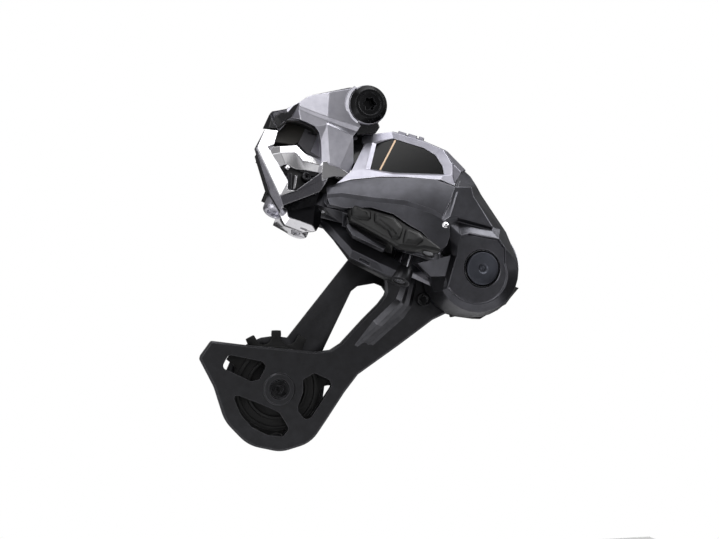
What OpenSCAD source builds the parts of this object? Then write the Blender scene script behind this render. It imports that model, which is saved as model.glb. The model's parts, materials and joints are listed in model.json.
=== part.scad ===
// Electronic rear derailleur with its own battery.
// Millimetres. Origin on the fixing bolt's axis at the frame hanger's outer face.
// +X forward along the bicycle, +Y inboard towards the wheel, +Z up.

/* [Hanger end] */
// Radius of the fixing bolt's thread
thread_r = 5; // [4:0.5:6]
// Length of thread that enters the hanger
thread_l = 9; // [7:0.5:12]
// Radius of the fixing bolt's shank
shank_r = 6; // [5.5:0.25:7]
// Radius of the fixing bolt's head
head_r = 9.4; // [8:0.2:12]
// Length of the bracket's boss along the bolt
boss_l = 14; // [10:0.5:18]
// Radius of the bracket's boss
boss_r = 10.2; // [9.6:0.2:14]

/* [Parallelogram] */
// Distance between the two pivots of a link
link_l = 57; // [45:1:70]
// Lean of the pivot axes seen from the side
tilt = 23.5; // [15:0.5:30]
// Lean of the pivot axes seen from the front
slant = 20; // [10:0.5:30]
// Angle of the links at the outermost gear
rest_angle = -20; // [-30:1:-10]
// Radius of the four pivot pins
pin_r = 2.5; // [2:0.1:3.5]
// Wall of the pivot bushes
bush_wall = 1; // [0.6:0.1:1.5]
// Radius of the outer link's pivot barrels
outer_barrel_r = 6; // [5:0.25:7]
// Radius of the inner link's pivot barrels
inner_barrel_r = 5; // [4.5:0.25:6]
// Height of the outer link's skin above its pivots
skin_h = 9.6; // [8:0.2:12]
// Thickness of the inner link's plate
inner_plate_t = 5; // [3:0.5:6]

/* [Battery] */
// Battery length
battery_l = 27; // [20:1:32]
// Battery height
battery_h = 24; // [16:1:28]
// Battery thickness
battery_t = 9; // [6:0.5:10]

/* [Cage] */
// Distance from the cage pivot to the tension pulley
cage_l = 113.4; // [90:1:140]
// Outer cage plate thickness
outer_t = 3.5; // [2:0.25:5]
// Inner cage plate thickness
inner_t = 2; // [1.5:0.25:4]
// Clear width between the cage plates
cage_gap = 10.5; // [8:0.25:13]
// Radius of the cage pivot's axle
axle_r = 5; // [4:0.25:7]

/* [Pulleys] */
// Teeth on each pulley
teeth = 13; // [11:1:15]
// Chain pitch
chain_pitch = 12.7; // [12.7:0.1:12.7]
// Chain roller radius with clearance
roller_r = 4.05; // [3.9:0.05:4.2]
// Thickness of the teeth
tooth_t = 2.4; // [1.8:0.1:3]
// Radius of the bolts through the pulleys
bolt_r = 2.5; // [2:0.1:3]
// Ball radius in the pulley bearings
ball_r = 1; // [0.8:0.05:1.2]

/* [Hidden] */
$fn = 48;
fit = 0.05;              // running clearance on a radius
gap = 0.4;               // clearance between pieces that move past each other
eps = 0.01;
corner_steps = 5;        // points on a rounded corner

// Depth of each layer along Y
head_face_y = -20;
head_back_y = -16.9;
boss_y = -2.4;
plate_y = -2;
knuckle_face_y = -28;
knuckle_back_y = -0.6;
outer_y = 1;
outer_y1 = outer_y + outer_t;
inner_y = outer_y1 + cage_gap;
inner_y1 = inner_y + inner_t;
chain_y = (outer_y1 + inner_y) / 2;

// Parallelogram, in a frame whose Z is the pivots' axis and Y points inboard
pivot_b = [-13.8, -2.2, -31.2];
inner_pivot = [-5, 16];
knuckle_pivot = link_l * [cos(rest_angle), sin(rest_angle)];
barrel_bore_r = pin_r + bush_wall;
swing_r = 12;            // reach of the outer link's skin past the knuckle pivot

// Cage pivot, placed from the knuckle's upper pivot so that it follows the link length
link_dir = [cos(rest_angle) * cos(tilt) - sin(rest_angle) * sin(slant) * sin(tilt),
            -cos(rest_angle) * sin(tilt) - sin(rest_angle) * sin(slant) * cos(tilt)];
pivot_p = [pivot_b[0], pivot_b[2]] + link_l * link_dir;
cage_axis = pivot_p + [17.4, -34.2];
cage_angle = 211.7;
tension_axis = cage_axis + cage_l * [cos(cage_angle), sin(cage_angle)];
guide_axis = cage_axis + [-9, 4.2];

// Pulleys
pitch_r = chain_pitch / (2 * sin(180 / teeth));
tip_r = pitch_r + 2.4;
valley_half = roller_r - 0.15;     // half width of a tooth gap where the roller sits
mouth_half = valley_half + 1.6;    // and past the tips
race_in_r = bolt_r + 1.6;
race_out_r = race_in_r + 2 * ball_r + 1.5;
hub_r = race_out_r + 2;
bearing_w = 5;
hub_w = cage_gap - 2 * gap;

// ---------------------------------------------------------------- helpers

function unit(v) = v / norm(v);
function shorter(a) = a > 180 ? a - 360 : a < -180 ? a + 360 : a;

// Arc that replaces the corner b between a and c; b carries its radius as a third value.
function corner(a, b, c) =
    let (p = [b[0], b[1]],
         u = unit([a[0], a[1]] - p),
         v = unit([c[0], c[1]] - p),
         half = acos(u * v) / 2,
         mid = p + unit(u + v) * b[2] / sin(half),
         start = p + u * b[2] / tan(half) - mid,
         stop = p + v * b[2] / tan(half) - mid,
         a0 = atan2(start[1], start[0]),
         sweep = shorter(atan2(stop[1], stop[0]) - a0))
    [for (k = [0:corner_steps]) mid + b[2] * [cos(a0 + sweep * k / corner_steps), sin(a0 + sweep * k / corner_steps)]];

// Closed outline through points [x, y] or rounded corners [x, y, r], shifted by a centre.
function outline(points, centre = [0, 0]) =
    [for (i = [0:len(points) - 1])
        let (n = len(points), b = points[i])
        each len(b) == 2 ? [b + centre]
            : [for (q = corner(points[(i + n - 1) % n], b, points[(i + 1) % n])) q + centre]];

// Extrudes an X-Z outline between two Y values.
module side(y0, y1) translate([0, y1, 0]) rotate([90, 0, 0]) linear_extrude(y1 - y0) children();

// Cylinder or cone along Y between two Y values, centred on an X-Z point.
module turned(at, y0, y1, r, r_end = -1)
    translate([at[0], y1, at[1]]) rotate([90, 0, 0]) cylinder(h = y1 - y0, r1 = r_end < 0 ? r : r_end, r2 = r);

// Cylinder along Z between two heights.
module post(at, z0, z1, r, r_end = -1)
    translate([at[0], at[1], z0]) cylinder(h = z1 - z0, r1 = r, r2 = r_end < 0 ? r : r_end);

// Extrudes an outline along Z between two heights.
module raised(z) translate([0, 0, z[0]]) linear_extrude(z[1] - z[0]) children();

// Box between two corners.
module block(a, b) translate(a) cube(b - a);

// Two discs joined by their outer tangents.
module bar(p, q, r1, r2) {
    dir = atan2(q[1] - p[1], q[0] - p[0]);
    turn = acos((r1 - r2) / norm(q - p));
    translate(p) circle(r1);
    translate(q) circle(r2);
    polygon([for (s = [[p, r1, 1], [q, r2, 1], [q, r2, -1], [p, r1, -1]])
        s[0] + s[1] * [cos(dir + s[2] * turn), sin(dir + s[2] * turn)]]);
}

module at_cage_axis() translate([cage_axis[0], 0, cage_axis[1]]) children();

// Frames of the parallelogram: Z along the pivots, Y inboard; X forward or along the link.
module linkage_frame() translate(pivot_b) rotate([-slant, tilt, 0]) children();
module outer_frame() linkage_frame() rotate([0, 0, rest_angle]) children();
module inner_frame() linkage_frame() translate([inner_pivot[0], inner_pivot[1], 0]) rotate([0, 0, rest_angle]) children();
module knuckle_frame() linkage_frame() translate([knuckle_pivot[0], knuckle_pivot[1], 0]) children();

// Heights along the pivots' axis
outer_b_eye = [-17.5, 5.5];      // bracket's barrel on the outer pivot
outer_b_ears = [-25, 11.5];      // outer link's ears around it
outer_p_eye = [-22.5, 9.5];      // knuckle's barrel on the outer pivot
outer_p_ears = [-32, 15.5];
inner_b_eye = [-25, -4];         // inner link's barrel
inner_b_lugs = [-32.5, 2];       // bracket's lugs around it
inner_p_eye = [-36.5, -14];      // knuckle's barrel on the inner pivot
inner_p_ears = [-44, -8];

// ---------------------------------------------------------------- hanger end

module b_axle_bolt() color([0.1, 0.1, 0.11]) difference() {
    union() {
        turned([0, 0], head_face_y, head_back_y, 6.3, head_r);
        turned([0, 0], head_back_y - eps, head_back_y + 0.2, head_r);
        turned([0, 0], head_back_y, plate_y, shank_r);
        turned([0, 0], plate_y - eps, thread_l - 1, thread_r);
        turned([0, 0], thread_l - 1 - eps, thread_l, thread_r, thread_r - 0.8);
    }
    translate([0, head_face_y + 4, 0]) rotate([90, 0, 0]) cylinder(h = 5, r = 2.9, $fn = 6);
    difference() {
        turned([0, 0], -1.3, -0.3, thread_r + 1);
        turned([0, 0], -2, 0, thread_r - 0.5);
    }
}

module stopper_plate() color([0.13, 0.13, 0.14]) difference() {
    union() {
        turned([0, 0], plate_y, 0, 11);
        side(plate_y, 0) polygon([[-6.2, -8], [-2.4, -8], [-3.1, -16], [-6.2, -16]]);
        side(-6.2, 0) polygon([[-6.2, -12.4], [-2.8, -12.4], [-3.1, -16], [-6.2, -16]]);
    }
    turned([0, 0], plate_y - 1, 1, thread_r);
    turned([0, 0], -1.5, 1, 7);
}

module axle_snap_ring() color([0.55, 0.55, 0.57]) difference() {
    turned([0, 0], -1.3, -0.3, 6.6);
    turned([0, 0], -1.4, 0, thread_r - 0.45);
    side(-2, 0) polygon([[0, 0], [9, 2.5], [9, -2.5]]);
}

// ---------------------------------------------------------------- bracket knuckle

module b_bush() color([0.62, 0.5, 0.28]) difference() {
    turned([0, 0], boss_y - boss_l + 0.3, boss_y, shank_r + fit + bush_wall);
    turned([0, 0], boss_y - boss_l - 1, boss_y + 1, shank_r + fit);
}

body_band = [[-2, 9], [-8.6, 9], [-28.3, 4.1, 6], [-33.1, 1], [-39.9, -3.1], [-47.1, -4.5], [-48.2, -5.6],
             [-46.6, -10.4], [-43.4, -13.9], [-38.9, -8.6], [-32.5, -8.8, 3], [-27.1, -11.3, 4], [-24.3, -15.5],
             [-23.2, -29], [-24.2, -37.2], [-20, -37.2], [-12.4, -36.2], [-9.3, -33.6], [-7, -27.6],
             [-7.6, -16.3], [-4, -11]];

module bracket_body() color([0.42, 0.42, 0.45]) difference() {
    union() {
        turned([0, 0], boss_y - boss_l, boss_y, boss_r);
        side(-17.6, -12.6) polygon(outline(body_band));
        side(-12.7, -6) polygon([[-4, 9], [-28.3, 4.1], [-39.9, -3.1], [-38.9, -7.4], [-27, -5], [-11, -3], [-3, -11]]);
        linkage_frame() block([-16, -14, -8], [-9, -8.6, 8.2]);
    }
    turned([0, 0], -40, 10, shank_r + fit + bush_wall);
    turned([0, 0], -40, boss_y - boss_l, head_r + 0.4);
    side(-6.6, 1) polygon([[-7.5, -11.7], [6, -11.7], [6, -18], [-7.5, -18]]);
    linkage_frame() {
        block([-27.5, -8.6, -40], [-10, 20, 10.5]);
        block([-60, -30, -60], [30, 30, -12.8]);
        post([0, 0], -40, 20, outer_barrel_r + gap);
        rotate([0, 0, rest_angle]) block([9.6, -30, -40], [40, 10, 40]);
    }
    side(-5.2, -2.8) polygon([[-40, -15.6], [-6, -15.6], [-6, -12.4], [-40, -12.4]]);
}

// Outline of the lower V, in the pivots' frame.
frame_v = [[-34.7, -8.4], [-36.5, -12.3, 0.8], [-30.6, -18, 2], [-28, -18.5], [-21.9, -21, 1.5], [-22.8, -29.8, 0.6],
           [-20.8, -29.6, 0.6], [-17, -24.8], [-6.3, -13.6], [-5, -13.7], [-5, -22.1, 1], [-4.8, -28.4],
           [-13.9, -36.3, 3], [-18.6, -36.8], [-26.7, -32.2], [-40.9, -14.9, 1], [-39.7, -11.5]];

module bracket_frame() color([0.8, 0.8, 0.82]) linkage_frame() {
    side(-12.6, -10.4) polygon(outline(frame_v));
    side(-10.5, -4.2) polygon([[-40, -15], [-37, -13.2], [-31, -19], [-27.4, -20], [-27.4, -31], [-28, -31.6]]);
}

// Case screws in the pivots' frame, as [x, z].
case_screw_spots = [[-35.7, -6.2], [-35.7, 5.2]];

module bracket_corner() color([0.2, 0.18, 0.17]) difference() {
    side(-15, -8) polygon([[-48.6, -6], [-53, -15.8], [-55.6, -21.4], [-53.2, -21.4], [-47.2, -20.8], [-43.6, -14.2],
                           [-46.9, -10.6]]);
    linkage_frame() {
        block([-27.5, -9, -26.5], [-10, 20, 10.5]);
        block([-37, -2, -9], [-26.9, 11, 8]);
        for (at = case_screw_spots) translate([at[0], -6, at[1]]) rotate([-90, 0, 0]) cylinder(h = 5, r = 1.6 + gap);
    }
}

// Gear case between the bracket's faces: a closed box with room for the motor and gears.
module servo_case() color([0.07, 0.07, 0.08]) linkage_frame() difference() {
    union() {
        block([-27, -8.6, -26], [-10.6, 14, 10]);
        block([-37, -2, -9], [-26.9, 11, 8]);
        post([0, 0], outer_b_eye[0], outer_b_eye[1], outer_barrel_r);
        block([-11, -5, outer_b_eye[0]], [-2, 5, outer_b_eye[1]]);
        post(inner_pivot, -3.6, inner_b_lugs[1], inner_barrel_r);
        block([-11, 11, -3.6], [-6, 14, inner_b_lugs[1]]);
    }
    post([0, 0], -60, 60, pin_r);
    post(inner_pivot, -60, 60, pin_r);
    block([-25.4, -7, -24.4], [-12.2, 12.4, 8.4]);
    block([-35.4, -0.4, -7.4], [-20, 9.4, 6.4]);
    translate([-40, 4.5, 0]) rotate([0, 90, 0]) cylinder(h = 5, r = 2.3);
    translate([-40, 4.5, 5.4]) rotate([0, 90, 0]) cylinder(h = 5, r = 0.9);
}

// Curved cover strip that bridges the case and the links.
module servo_cover() color([0.6, 0.6, 0.62]) linkage_frame() difference() {
    block([-24, -10.4, -25.3], [-11.4, -8.6, -9]);
    block([-22, -12, -24.4], [-17, -8, -20]);
}

module servo_motor() color([0.66, 0.66, 0.68]) linkage_frame() {
    post([-30.4, 4.5], -7, 6, 4.6);
    post([-30.4, 4.5], 5.9, 6.3, 1.6);
}

module gear_train() color([0.7, 0.58, 0.3]) linkage_frame() {
    post([-19, 4], -20, -17, 6);
    post([-19, 4], -16.5, -6, 2.4);
    post([-19, -3], -12, 2, 1.2);
    post([-19, -3], -4, -1.5, 3.6);
}

barrel_at = [-20, 6];

module foot_outline() {
    translate(inner_pivot) circle(6);
    polygon([[-5, 21.5], [-16.5, 19.5], [-19, 0], [-14, -9], [-8, -8], [0.2, 13.8]]);
}

module output_barrel() color([0.5, 0.5, 0.52]) linkage_frame() difference() {
    union() {
        post(barrel_at, -32.4, -26, 6);
        post(barrel_at, -33.6, -32.4, 4.8, 6);
    }
    post(barrel_at, -40, -31.6, 3.4);
}

module bracket_foot() color([0.82, 0.82, 0.84]) linkage_frame() difference() {
    translate([0, 0, inner_b_lugs[0]]) linear_extrude(inner_b_eye[0] - gap - inner_b_lugs[0]) foot_outline();
    post(barrel_at, -60, 60, 6);
    post(inner_pivot, -60, 60, pin_r);
    block([-28, -10, -26], [-10.4, 24, -20]);
}

module torx_screw(r, l, drive_r) difference() {
    union() {
        cylinder(h = l, r = r * 0.6);
        cylinder(h = 2, r = r);
    }
    translate([0, 0, -1]) cylinder(h = 2.4, r = drive_r, $fn = 6);
}

// Screws that close the gear case, heads outboard.
module case_screws() color([0.12, 0.12, 0.13]) linkage_frame()
    for (at = case_screw_spots)
        translate([at[0], -4, at[1]]) rotate([-90, 0, 0]) torx_screw(1.6, 2, 0.9);

module limit_screw() color([0.06, 0.06, 0.07]) linkage_frame()
    translate([-13.2, -12.4, -14]) rotate([-90, 0, 0]) torx_screw(1.7, 2, 0.9);

module outer_pin_b() color([0.7, 0.7, 0.72]) linkage_frame() post([0, 0], outer_b_ears[0] + 0.5, outer_b_ears[1] - 0.5, pin_r);

module inner_pin_b() color([0.7, 0.7, 0.72]) linkage_frame() post(inner_pivot, inner_b_lugs[0] + 0.5, inner_b_lugs[1] - 0.5, pin_r);

module b_tension_screw() color([0.14, 0.14, 0.15]) translate([-19, -4, -14]) rotate([0, 90, 0]) difference() {
    union() {
        cylinder(h = 12.4, r = 1.15);
        cylinder(h = 2.4, r = 1.15);
    }
    translate([0, 0, -1]) cylinder(h = 2, r = 0.7, $fn = 6);
}

module function_button() color([0.1, 0.1, 0.1]) linkage_frame() translate([-37 - 1.4, 4.5, 0]) rotate([0, 90, 0])
    cylinder(h = 2.4, r = 2.2);

module status_light() color([0.3, 0.7, 0.35, 0.6]) linkage_frame() translate([-38, 4.5, 5.4]) rotate([0, 90, 0])
    cylinder(h = 2, r = 0.9);

// ---------------------------------------------------------------- outer link and battery

battery_x = 14.5;
battery_z = -27.5;
pocket_x1 = battery_x + battery_l + 0.6;

link_skin = [[4.2, -14.5], [0.8, -18.8], [1.6, -22.9, 1], [4.2, -25, 1], [14, -23.5], [39, -20.5], [54.7, -17.5],
             [link_l + 2, -17.2], [link_l + 5.6, -12], [link_l + 5.6, 2.9], [53, 3.2], [35.5, -1], [20.8, -6],
             [11.2, -10]];

// Shell with the battery's pocket open below.
module outer_link_body() color([0.16, 0.16, 0.17]) outer_frame() difference() {
    union() {
        side(-skin_h - 1.2, -6.4) polygon(outline(link_skin));
        block([12, -6.8, -26], [pocket_x1 + 1.8, 6.6, 8]);
        side(-skin_h + 2, -6.4) polygon([[12, -10], [12, 12], [24, 20], [50, 18], [link_l + 2, 12], [link_l + 2, 0], [40, -4]]);
        for (z = [[outer_b_ears[0], outer_b_eye[0] - gap], [outer_b_eye[1] + gap, outer_b_ears[1]]]) {
            post([0, 0], z[0], z[1], outer_barrel_r);
            block([0, -5.6, z[0]], [13, 5.6, z[1]]);
        }
        for (z = [[outer_p_ears[0], outer_p_eye[0] - gap], [outer_p_eye[1] + gap, outer_p_ears[1]]]) {
            post([link_l, 0], z[0], z[1], outer_barrel_r);
            block([pocket_x1 - 2, -6.8, z[0]], [link_l, 5, z[1]]);
        }
        block([12, -6.8, 7.9], [link_l - 12.6, 5, outer_p_ears[1]]);
    }
    post([0, 0], -60, 60, barrel_bore_r);
    post([link_l, 0], -60, 60, barrel_bore_r);
    post([link_l, 0], outer_p_eye[0] - gap, outer_p_eye[1] + gap, outer_barrel_r + gap);
    block([battery_x - 0.4, -battery_t / 2 - 0.4, -60], [pocket_x1 - 0.2, battery_t / 2 + 0.4, battery_z + battery_h + 1.4]);
    difference() {
        block([link_l, -30, -60], [link_l + 30, 30, 60]);
        post([link_l, 0], -60, 60, swing_r - gap);
    }
}

frame_edge = [[10.2, -3.3], [11.2, 13.6], [9.9, 15], [9.9, 17.4], [12.4, 19.2], [15.6, 21], [19, 24], [22.6, 24.8, 2],
              [33.4, 25.6, 3], [50.9, 23, 3], [link_l + 5.6, 15.4, 1], [link_l + 5, 3.2], [53, 3.8],
              [35.5, -0.4], [20.8, -5.4], [11, -9.4]];
window_edge = [[16.9, 15.4, 1.5], [23.9, 20.6, 2], [40.6, 20, 2], [46.6, 18, 2], [51.7, 13.4, 2], [53.6, 8.6, 1],
               [29.5, 2.4, 2], [18.2, 0.8, 1.2]];

module outer_link_frame() color([0.85, 0.85, 0.87]) outer_frame() difference() {
    union() {
        side(-skin_h - 0.8, -skin_h + 2) polygon(outline(frame_edge));
        side(-skin_h + 1.9, -5) polygon([[15, 20.4], [50, 18.6], [link_l, 15.6], [50.9, 22], [33.4, 24.4], [20, 23.4]]);
    }
    side(-skin_h - 2, -skin_h + 3) polygon(outline(window_edge));
    difference() {
        block([link_l, -30, -60], [link_l + 30, 30, 60]);
        post([link_l, 0], -60, 60, swing_r - gap);
    }
}

module outer_link_plate() color([0.05, 0.05, 0.06]) outer_frame()
    side(-skin_h + 0.2, -skin_h + 1.9) polygon(outline(window_edge));

// Flanged plain bushes pressed into the four ears.
module outer_link_bushes() color([0.62, 0.5, 0.28]) outer_frame()
    for (z = [[0, outer_b_ears[0], outer_b_eye[0] - gap], [0, outer_b_eye[1] + gap, outer_b_ears[1]],
              [link_l, outer_p_ears[0], outer_p_eye[0] - gap], [link_l, outer_p_eye[1] + gap, outer_p_ears[1]]])
        difference() {
            post([z[0], 0], z[1] + 0.2, z[2] - 0.2, barrel_bore_r);
            post([z[0], 0], z[1] - 1, z[2] + 1, pin_r + fit);
        }

module battery() color([0.2, 0.2, 0.21]) outer_frame() difference() {
    block([battery_x, -battery_t / 2, battery_z], [battery_x + battery_l, battery_t / 2, battery_z + battery_h]);
    for (x = [0.25, 0.75])
        block([battery_x + x * battery_l - 1.6, -1.6, battery_z + battery_h - 1],
              [battery_x + x * battery_l + 1.6, 1.6, battery_z + battery_h + 1]);
}

module battery_contacts() color([0.8, 0.65, 0.3]) outer_frame()
    for (x = [0.25, 0.75])
        block([battery_x + x * battery_l - 1, -1, battery_z + battery_h - 0.7],
              [battery_x + x * battery_l + 1, 1, battery_z + battery_h + 1.4]);

cover_edge = [[14.4, -25.6, 1], [39, -21.8], [54.7, -18.8], [link_l + 3, -18.6], [link_l + 5, -24, 3],
              [link_l + 5, -33, 2], [54.8, -34.4, 2], [46.5, -36], [42.6, -36.9, 2], [37.5, -35], [23, -31.6, 4],
              [15.8, -29.6, 2]];
door_hinge = [-skin_h - 0.6, -20.5];

// Door over the battery: skin outside, floor below the pocket.
module battery_cover() color([0.06, 0.06, 0.06]) outer_frame() difference() {
    union() {
        side(-skin_h - 0.6, -7.2) polygon(outline(cover_edge));
        side(-skin_h + 1, 5.6) polygon([[16, -28], [pocket_x1 - 2.5, -28], [pocket_x1 - 2.5, -34], [37.5, -34.2], [23, -31]]);
    }
    block([0, -7.2 - eps, -28], [80, 10, -10]);
    side(-skin_h - 0.1 - 1, -skin_h + 0.2) polygon([[18, -31], [36, -35.6], [36, -33.4], [18, -29]]);
    difference() {
        block([link_l, -30, -60], [link_l + 30, 30, 60]);
        post([link_l, 0], -60, 60, swing_r - gap);
    }
    block([pocket_x1 + 0.1, -7.2 - eps, -60], [80, 30, 0]);
}

module battery_latch() color([0.25, 0.25, 0.26]) outer_frame()
    side(-4, -0.5) polygon(outline([[13.4, -29.2, 1], [19.4, -34.9, 1.5], [36.4, -38.4, 1], [36.6, -35.7], [23, -32.6], [16.6, -29.7]]));

// ---------------------------------------------------------------- inner link

inner_edge = [[0, -25], [13.1, -25.2], [30.1, -39.4, 6], [49.2, -43.8], [link_l, -44], [link_l, -36.9], [link_l - 6, -36.9],
              [link_l - 6, -13.6], [link_l, -13.6], [link_l, -8], [40, -5, 6], [20, -4], [0, -4]];

module inner_link_plate() color([0.2, 0.2, 0.21]) inner_frame() difference() {
    union() {
        side(-inner_plate_t / 2, inner_plate_t / 2) polygon(outline(inner_edge));
        post([0, 0], inner_b_eye[0], inner_b_eye[1], inner_barrel_r);
        post([link_l, 0], inner_p_ears[0], inner_p_eye[0] - gap, inner_barrel_r);
        post([link_l, 0], inner_p_eye[1] + gap, inner_p_ears[1], inner_barrel_r);
    }
    post([0, 0], -60, 60, barrel_bore_r);
    post([link_l, 0], -60, 60, barrel_bore_r);
    side(-4, 4) polygon(outline([[14, -19, 3], [30, -29, 4], [42, -32, 3], [44, -16, 4], [26, -10, 4]]));
}

module inner_link_bushes() color([0.62, 0.5, 0.28]) inner_frame()
    for (z = [[0, inner_b_eye[0], inner_b_eye[1]], [link_l, inner_p_ears[0], inner_p_eye[0] - gap],
              [link_l, inner_p_eye[1] + gap, inner_p_ears[1]]])
        difference() {
            post([z[0], 0], z[1] + 0.2, z[2] - 0.2, barrel_bore_r);
            post([z[0], 0], z[1] - 1, z[2] + 1, pin_r + fit);
        }

// ---------------------------------------------------------------- pivot knuckle

drum_r = 21;
pocket_r = 17;

module knuckle_shape() {
    circle(drum_r);
    bar([0, 0], [4.4, 1], drum_r, drum_r - 0.2);
    polygon(outline([[-10.4, 46.4], [-6.2, 49.1], [-0.8, 44.8], [5.3, 36.5], [12.1, 25.7], [17.6, 17.3], [23.4, 8.8],
                     [4, -19], [-19, 0], [-21, 12], [-24, 24]]));
}

module p_knuckle_body() color([0.17, 0.17, 0.18]) difference() {
    union() {
        difference() {
            at_cage_axis() union() {
                side(-23.4, knuckle_back_y) knuckle_shape();
                turned([0, 0], knuckle_face_y, -23.3, 13, drum_r);
                side(knuckle_face_y, -23.3) polygon([[-13, 16], [-18, 30], [-10.4, 46], [-7.2, 47.4], [-2, 42.4], [4, 34], [10, 24], [13.6, 15], [9, 4], [-9, 4]]);
            }
            knuckle_frame() {
                post([0, 0], -60, 60, swing_r);
                post([0, 0], outer_p_ears[0] - gap, outer_p_eye[0], outer_barrel_r + gap);
            }
        }
        knuckle_frame() {
            raised(outer_p_eye) {
                circle(outer_barrel_r);
                rotate(18) translate([0, -4]) square([swing_r + 4, 9.6]);
            }
            raised(inner_p_eye) {
                translate(inner_pivot) circle(inner_barrel_r);
                translate([inner_pivot[0], 12.3]) square([22, 7.3]);
            }
        }
    }
    knuckle_frame() {
        post([0, 0], -60, 60, pin_r);
        post(inner_pivot, -60, 60, pin_r + fit);
        post(inner_pivot, inner_p_ears[0] - 1, inner_p_eye[0], inner_barrel_r + gap);
        post(inner_pivot, inner_p_eye[1], inner_p_ears[1] + 1, inner_barrel_r + gap);
    }
    at_cage_axis() {
        turned([0, 0], -22, 10, pocket_r);
        turned([0, 0], knuckle_face_y - 1, -26.6, 10);
        turned([0, 0], -26.8, -21.9, 6.2);
    }
    side(knuckle_back_y, 40) translate(cage_axis) square(300, center = true);
}

module p_cap() color([0.2, 0.21, 0.23]) at_cage_axis() difference() {
    turned([0, 0], -29, -26.6, 8.2);
    turned([0, 0], -29.1, -28.2, 1, 1.8);
}

module p_cap_ring() color([0.1, 0.1, 0.11]) at_cage_axis() difference() {
    turned([0, 0], -27.8, -26.6, 10);
    turned([0, 0], -30, -26, 8.2);
}

module outer_pin_p() color([0.7, 0.7, 0.72]) knuckle_frame() post([0, 0], outer_p_ears[0] + 0.5, outer_p_ears[1] - 0.5, pin_r);

// This pin stays with the inner link; its knuckle end runs free.
module inner_pin_p() color([0.7, 0.7, 0.72]) knuckle_frame() post(inner_pivot, inner_p_ears[0] + 0.5, inner_p_ears[1] - 0.5, pin_r);

// Torsion spring around the cage axle, drawn as closed turns.
module cage_spring() color([0.5, 0.5, 0.53]) at_cage_axis() rotate([90, 0, 0])
    for (k = [0:3]) translate([0, 0, 2.2 + k * 2.2]) rotate_extrude() translate([13.4, 0]) circle(0.9);

module clutch_unit() color([0.4, 0.4, 0.42]) at_cage_axis() difference() {
    union() {
        turned([0, 0], -21, -12.6, 10.4);
        turned([0, 0], -21.8, -20.9, 15.6);
    }
    turned([0, 0], -30, 0, axle_r + fit + bush_wall);
}

module p_axle_bush() color([0.62, 0.5, 0.28]) at_cage_axis() difference() {
    turned([0, 0], -21.6, -1.4, axle_r + fit + bush_wall);
    turned([0, 0], -30, 2, axle_r + fit);
}

// ---------------------------------------------------------------- cage

function from_pulley(points) = outline(points, tension_axis);
function from_pivot(p) = cage_axis + p;

tail_top = [[17.9, 18.2], [-1.4, 20.3], [-18.1, 22.1], [-33.5, 24.1], [-38.7, 16.9], [-39.1, 15.1]];
tail_low = [[-32.1, 1.5], [-25.2, -13.1], [-17.9, -21.7], [-10.8, -26.5], [0.2, -29.7], [10.7, -27.7], [18, -23.6],
            [22.8, -17.5], [27.7, -10.5], [33.5, -2.1], [40.4, 6.6]];
head_low = [[-34.2, -38.1], [-16.7, -25.6], [-7.4, -21.4]];
head_top = [[-21, 12], [-32, 11], [-40.5, 2], [-42.2, -3.2], [-41.4, -11], [-42.2, -13.1], [-45.4, -17.2], [-53.4, -25]];
tail_shoulder = [[31.5, 22.4], [26.2, 19.1]];

window_back = [[-25.1, 17.3, 2], [-8.5, 13.8, 2], [-6.4, 11.4, 1.5], [-9.8, 5, 1], [-13.8, 3.9], [-28.4, 11, 2]];
window_front = [[12.1, 4.5, 1.5], [17.9, 7.8, 2], [25.6, 4.2, 2], [26.7, 1, 2], [16.5, -14.1], [13.6, -15.7, 2],
                [9.7, -11.3, 2], [9.5, -8.7, 1.5], [12.1, -1.7]];
window_low = [[-23.6, -1.5, 1.5], [-8.5, -7.4], [0.1, -11.4, 2], [5.1, -19.5, 2], [2, -23.6, 1.5], [-5.6, -22.5],
              [-13.2, -18.7, 3], [-18.9, -12.3, 3]];

module cage_outline() {
    polygon(concat([for (p = tail_top) tension_axis + p], [for (p = tail_low) tension_axis + p],
                   [for (p = head_low) from_pivot(p)], [from_pivot([0, 0])], [for (p = head_top) from_pivot(p)],
                   [for (p = tail_shoulder) tension_axis + p]));
    translate(cage_axis) circle(22);
    translate(guide_axis) circle(16);
}

rib_upper = [[-31.4, -5.2], [-34.6, -15.1], [-47.5, -26.5], [-61.9, -40.8]];
rib_lower = [[-28.7, -7.8], [-30.3, -15.6], [-34.1, -21.3], [-43.8, -28.1]];

module cage_outer_plate() color([0.14, 0.14, 0.15]) difference() {
    union() {
        side(outer_y, outer_y1) cage_outline();
        side(outer_y - 1.2, outer_y + eps) polygon(concat([for (p = rib_upper) from_pivot(p)],
            [for (k = [3:-1:0]) from_pivot(rib_upper[k] + [-2.6, 1.4])]));
        turned(tension_axis, outer_y - 1.6, outer_y1 + gap - eps, 8);
        turned(guide_axis, outer_y1 - eps, outer_y1 + gap - eps, 6.5);
    }
    side(outer_y - 1, outer_y1 + 1) {
        polygon(from_pulley(window_back));
        polygon(from_pulley(window_front));
        polygon(from_pulley(window_low));
    }
    turned(cage_axis, -10, 20, axle_r);
    turned(tension_axis, -10, 20, bolt_r);
    turned(guide_axis, -10, 20, bolt_r);
    turned(tension_axis, outer_y - 2, outer_y + 0.6, 4.4);
    turned([cage_axis[0] - 22.6, cage_axis[1] - 15.1], -10, 20, 2);
}

inner_head = [[-56.9, 6.6], [-45.4, 24], [-33, 33], [-9.4, 36.2], [8, 31], [20, 19], [25.6, 5], [27, -12],
              [10.6, -25.3], [0.7, -24], [-15.4, -19.4], [-30, -15.4], [-37.8, -11.3], [-40, -8.1], [-43.8, -6.6],
              [-53.1, -8.2], [-56.4, -10.8]];

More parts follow.
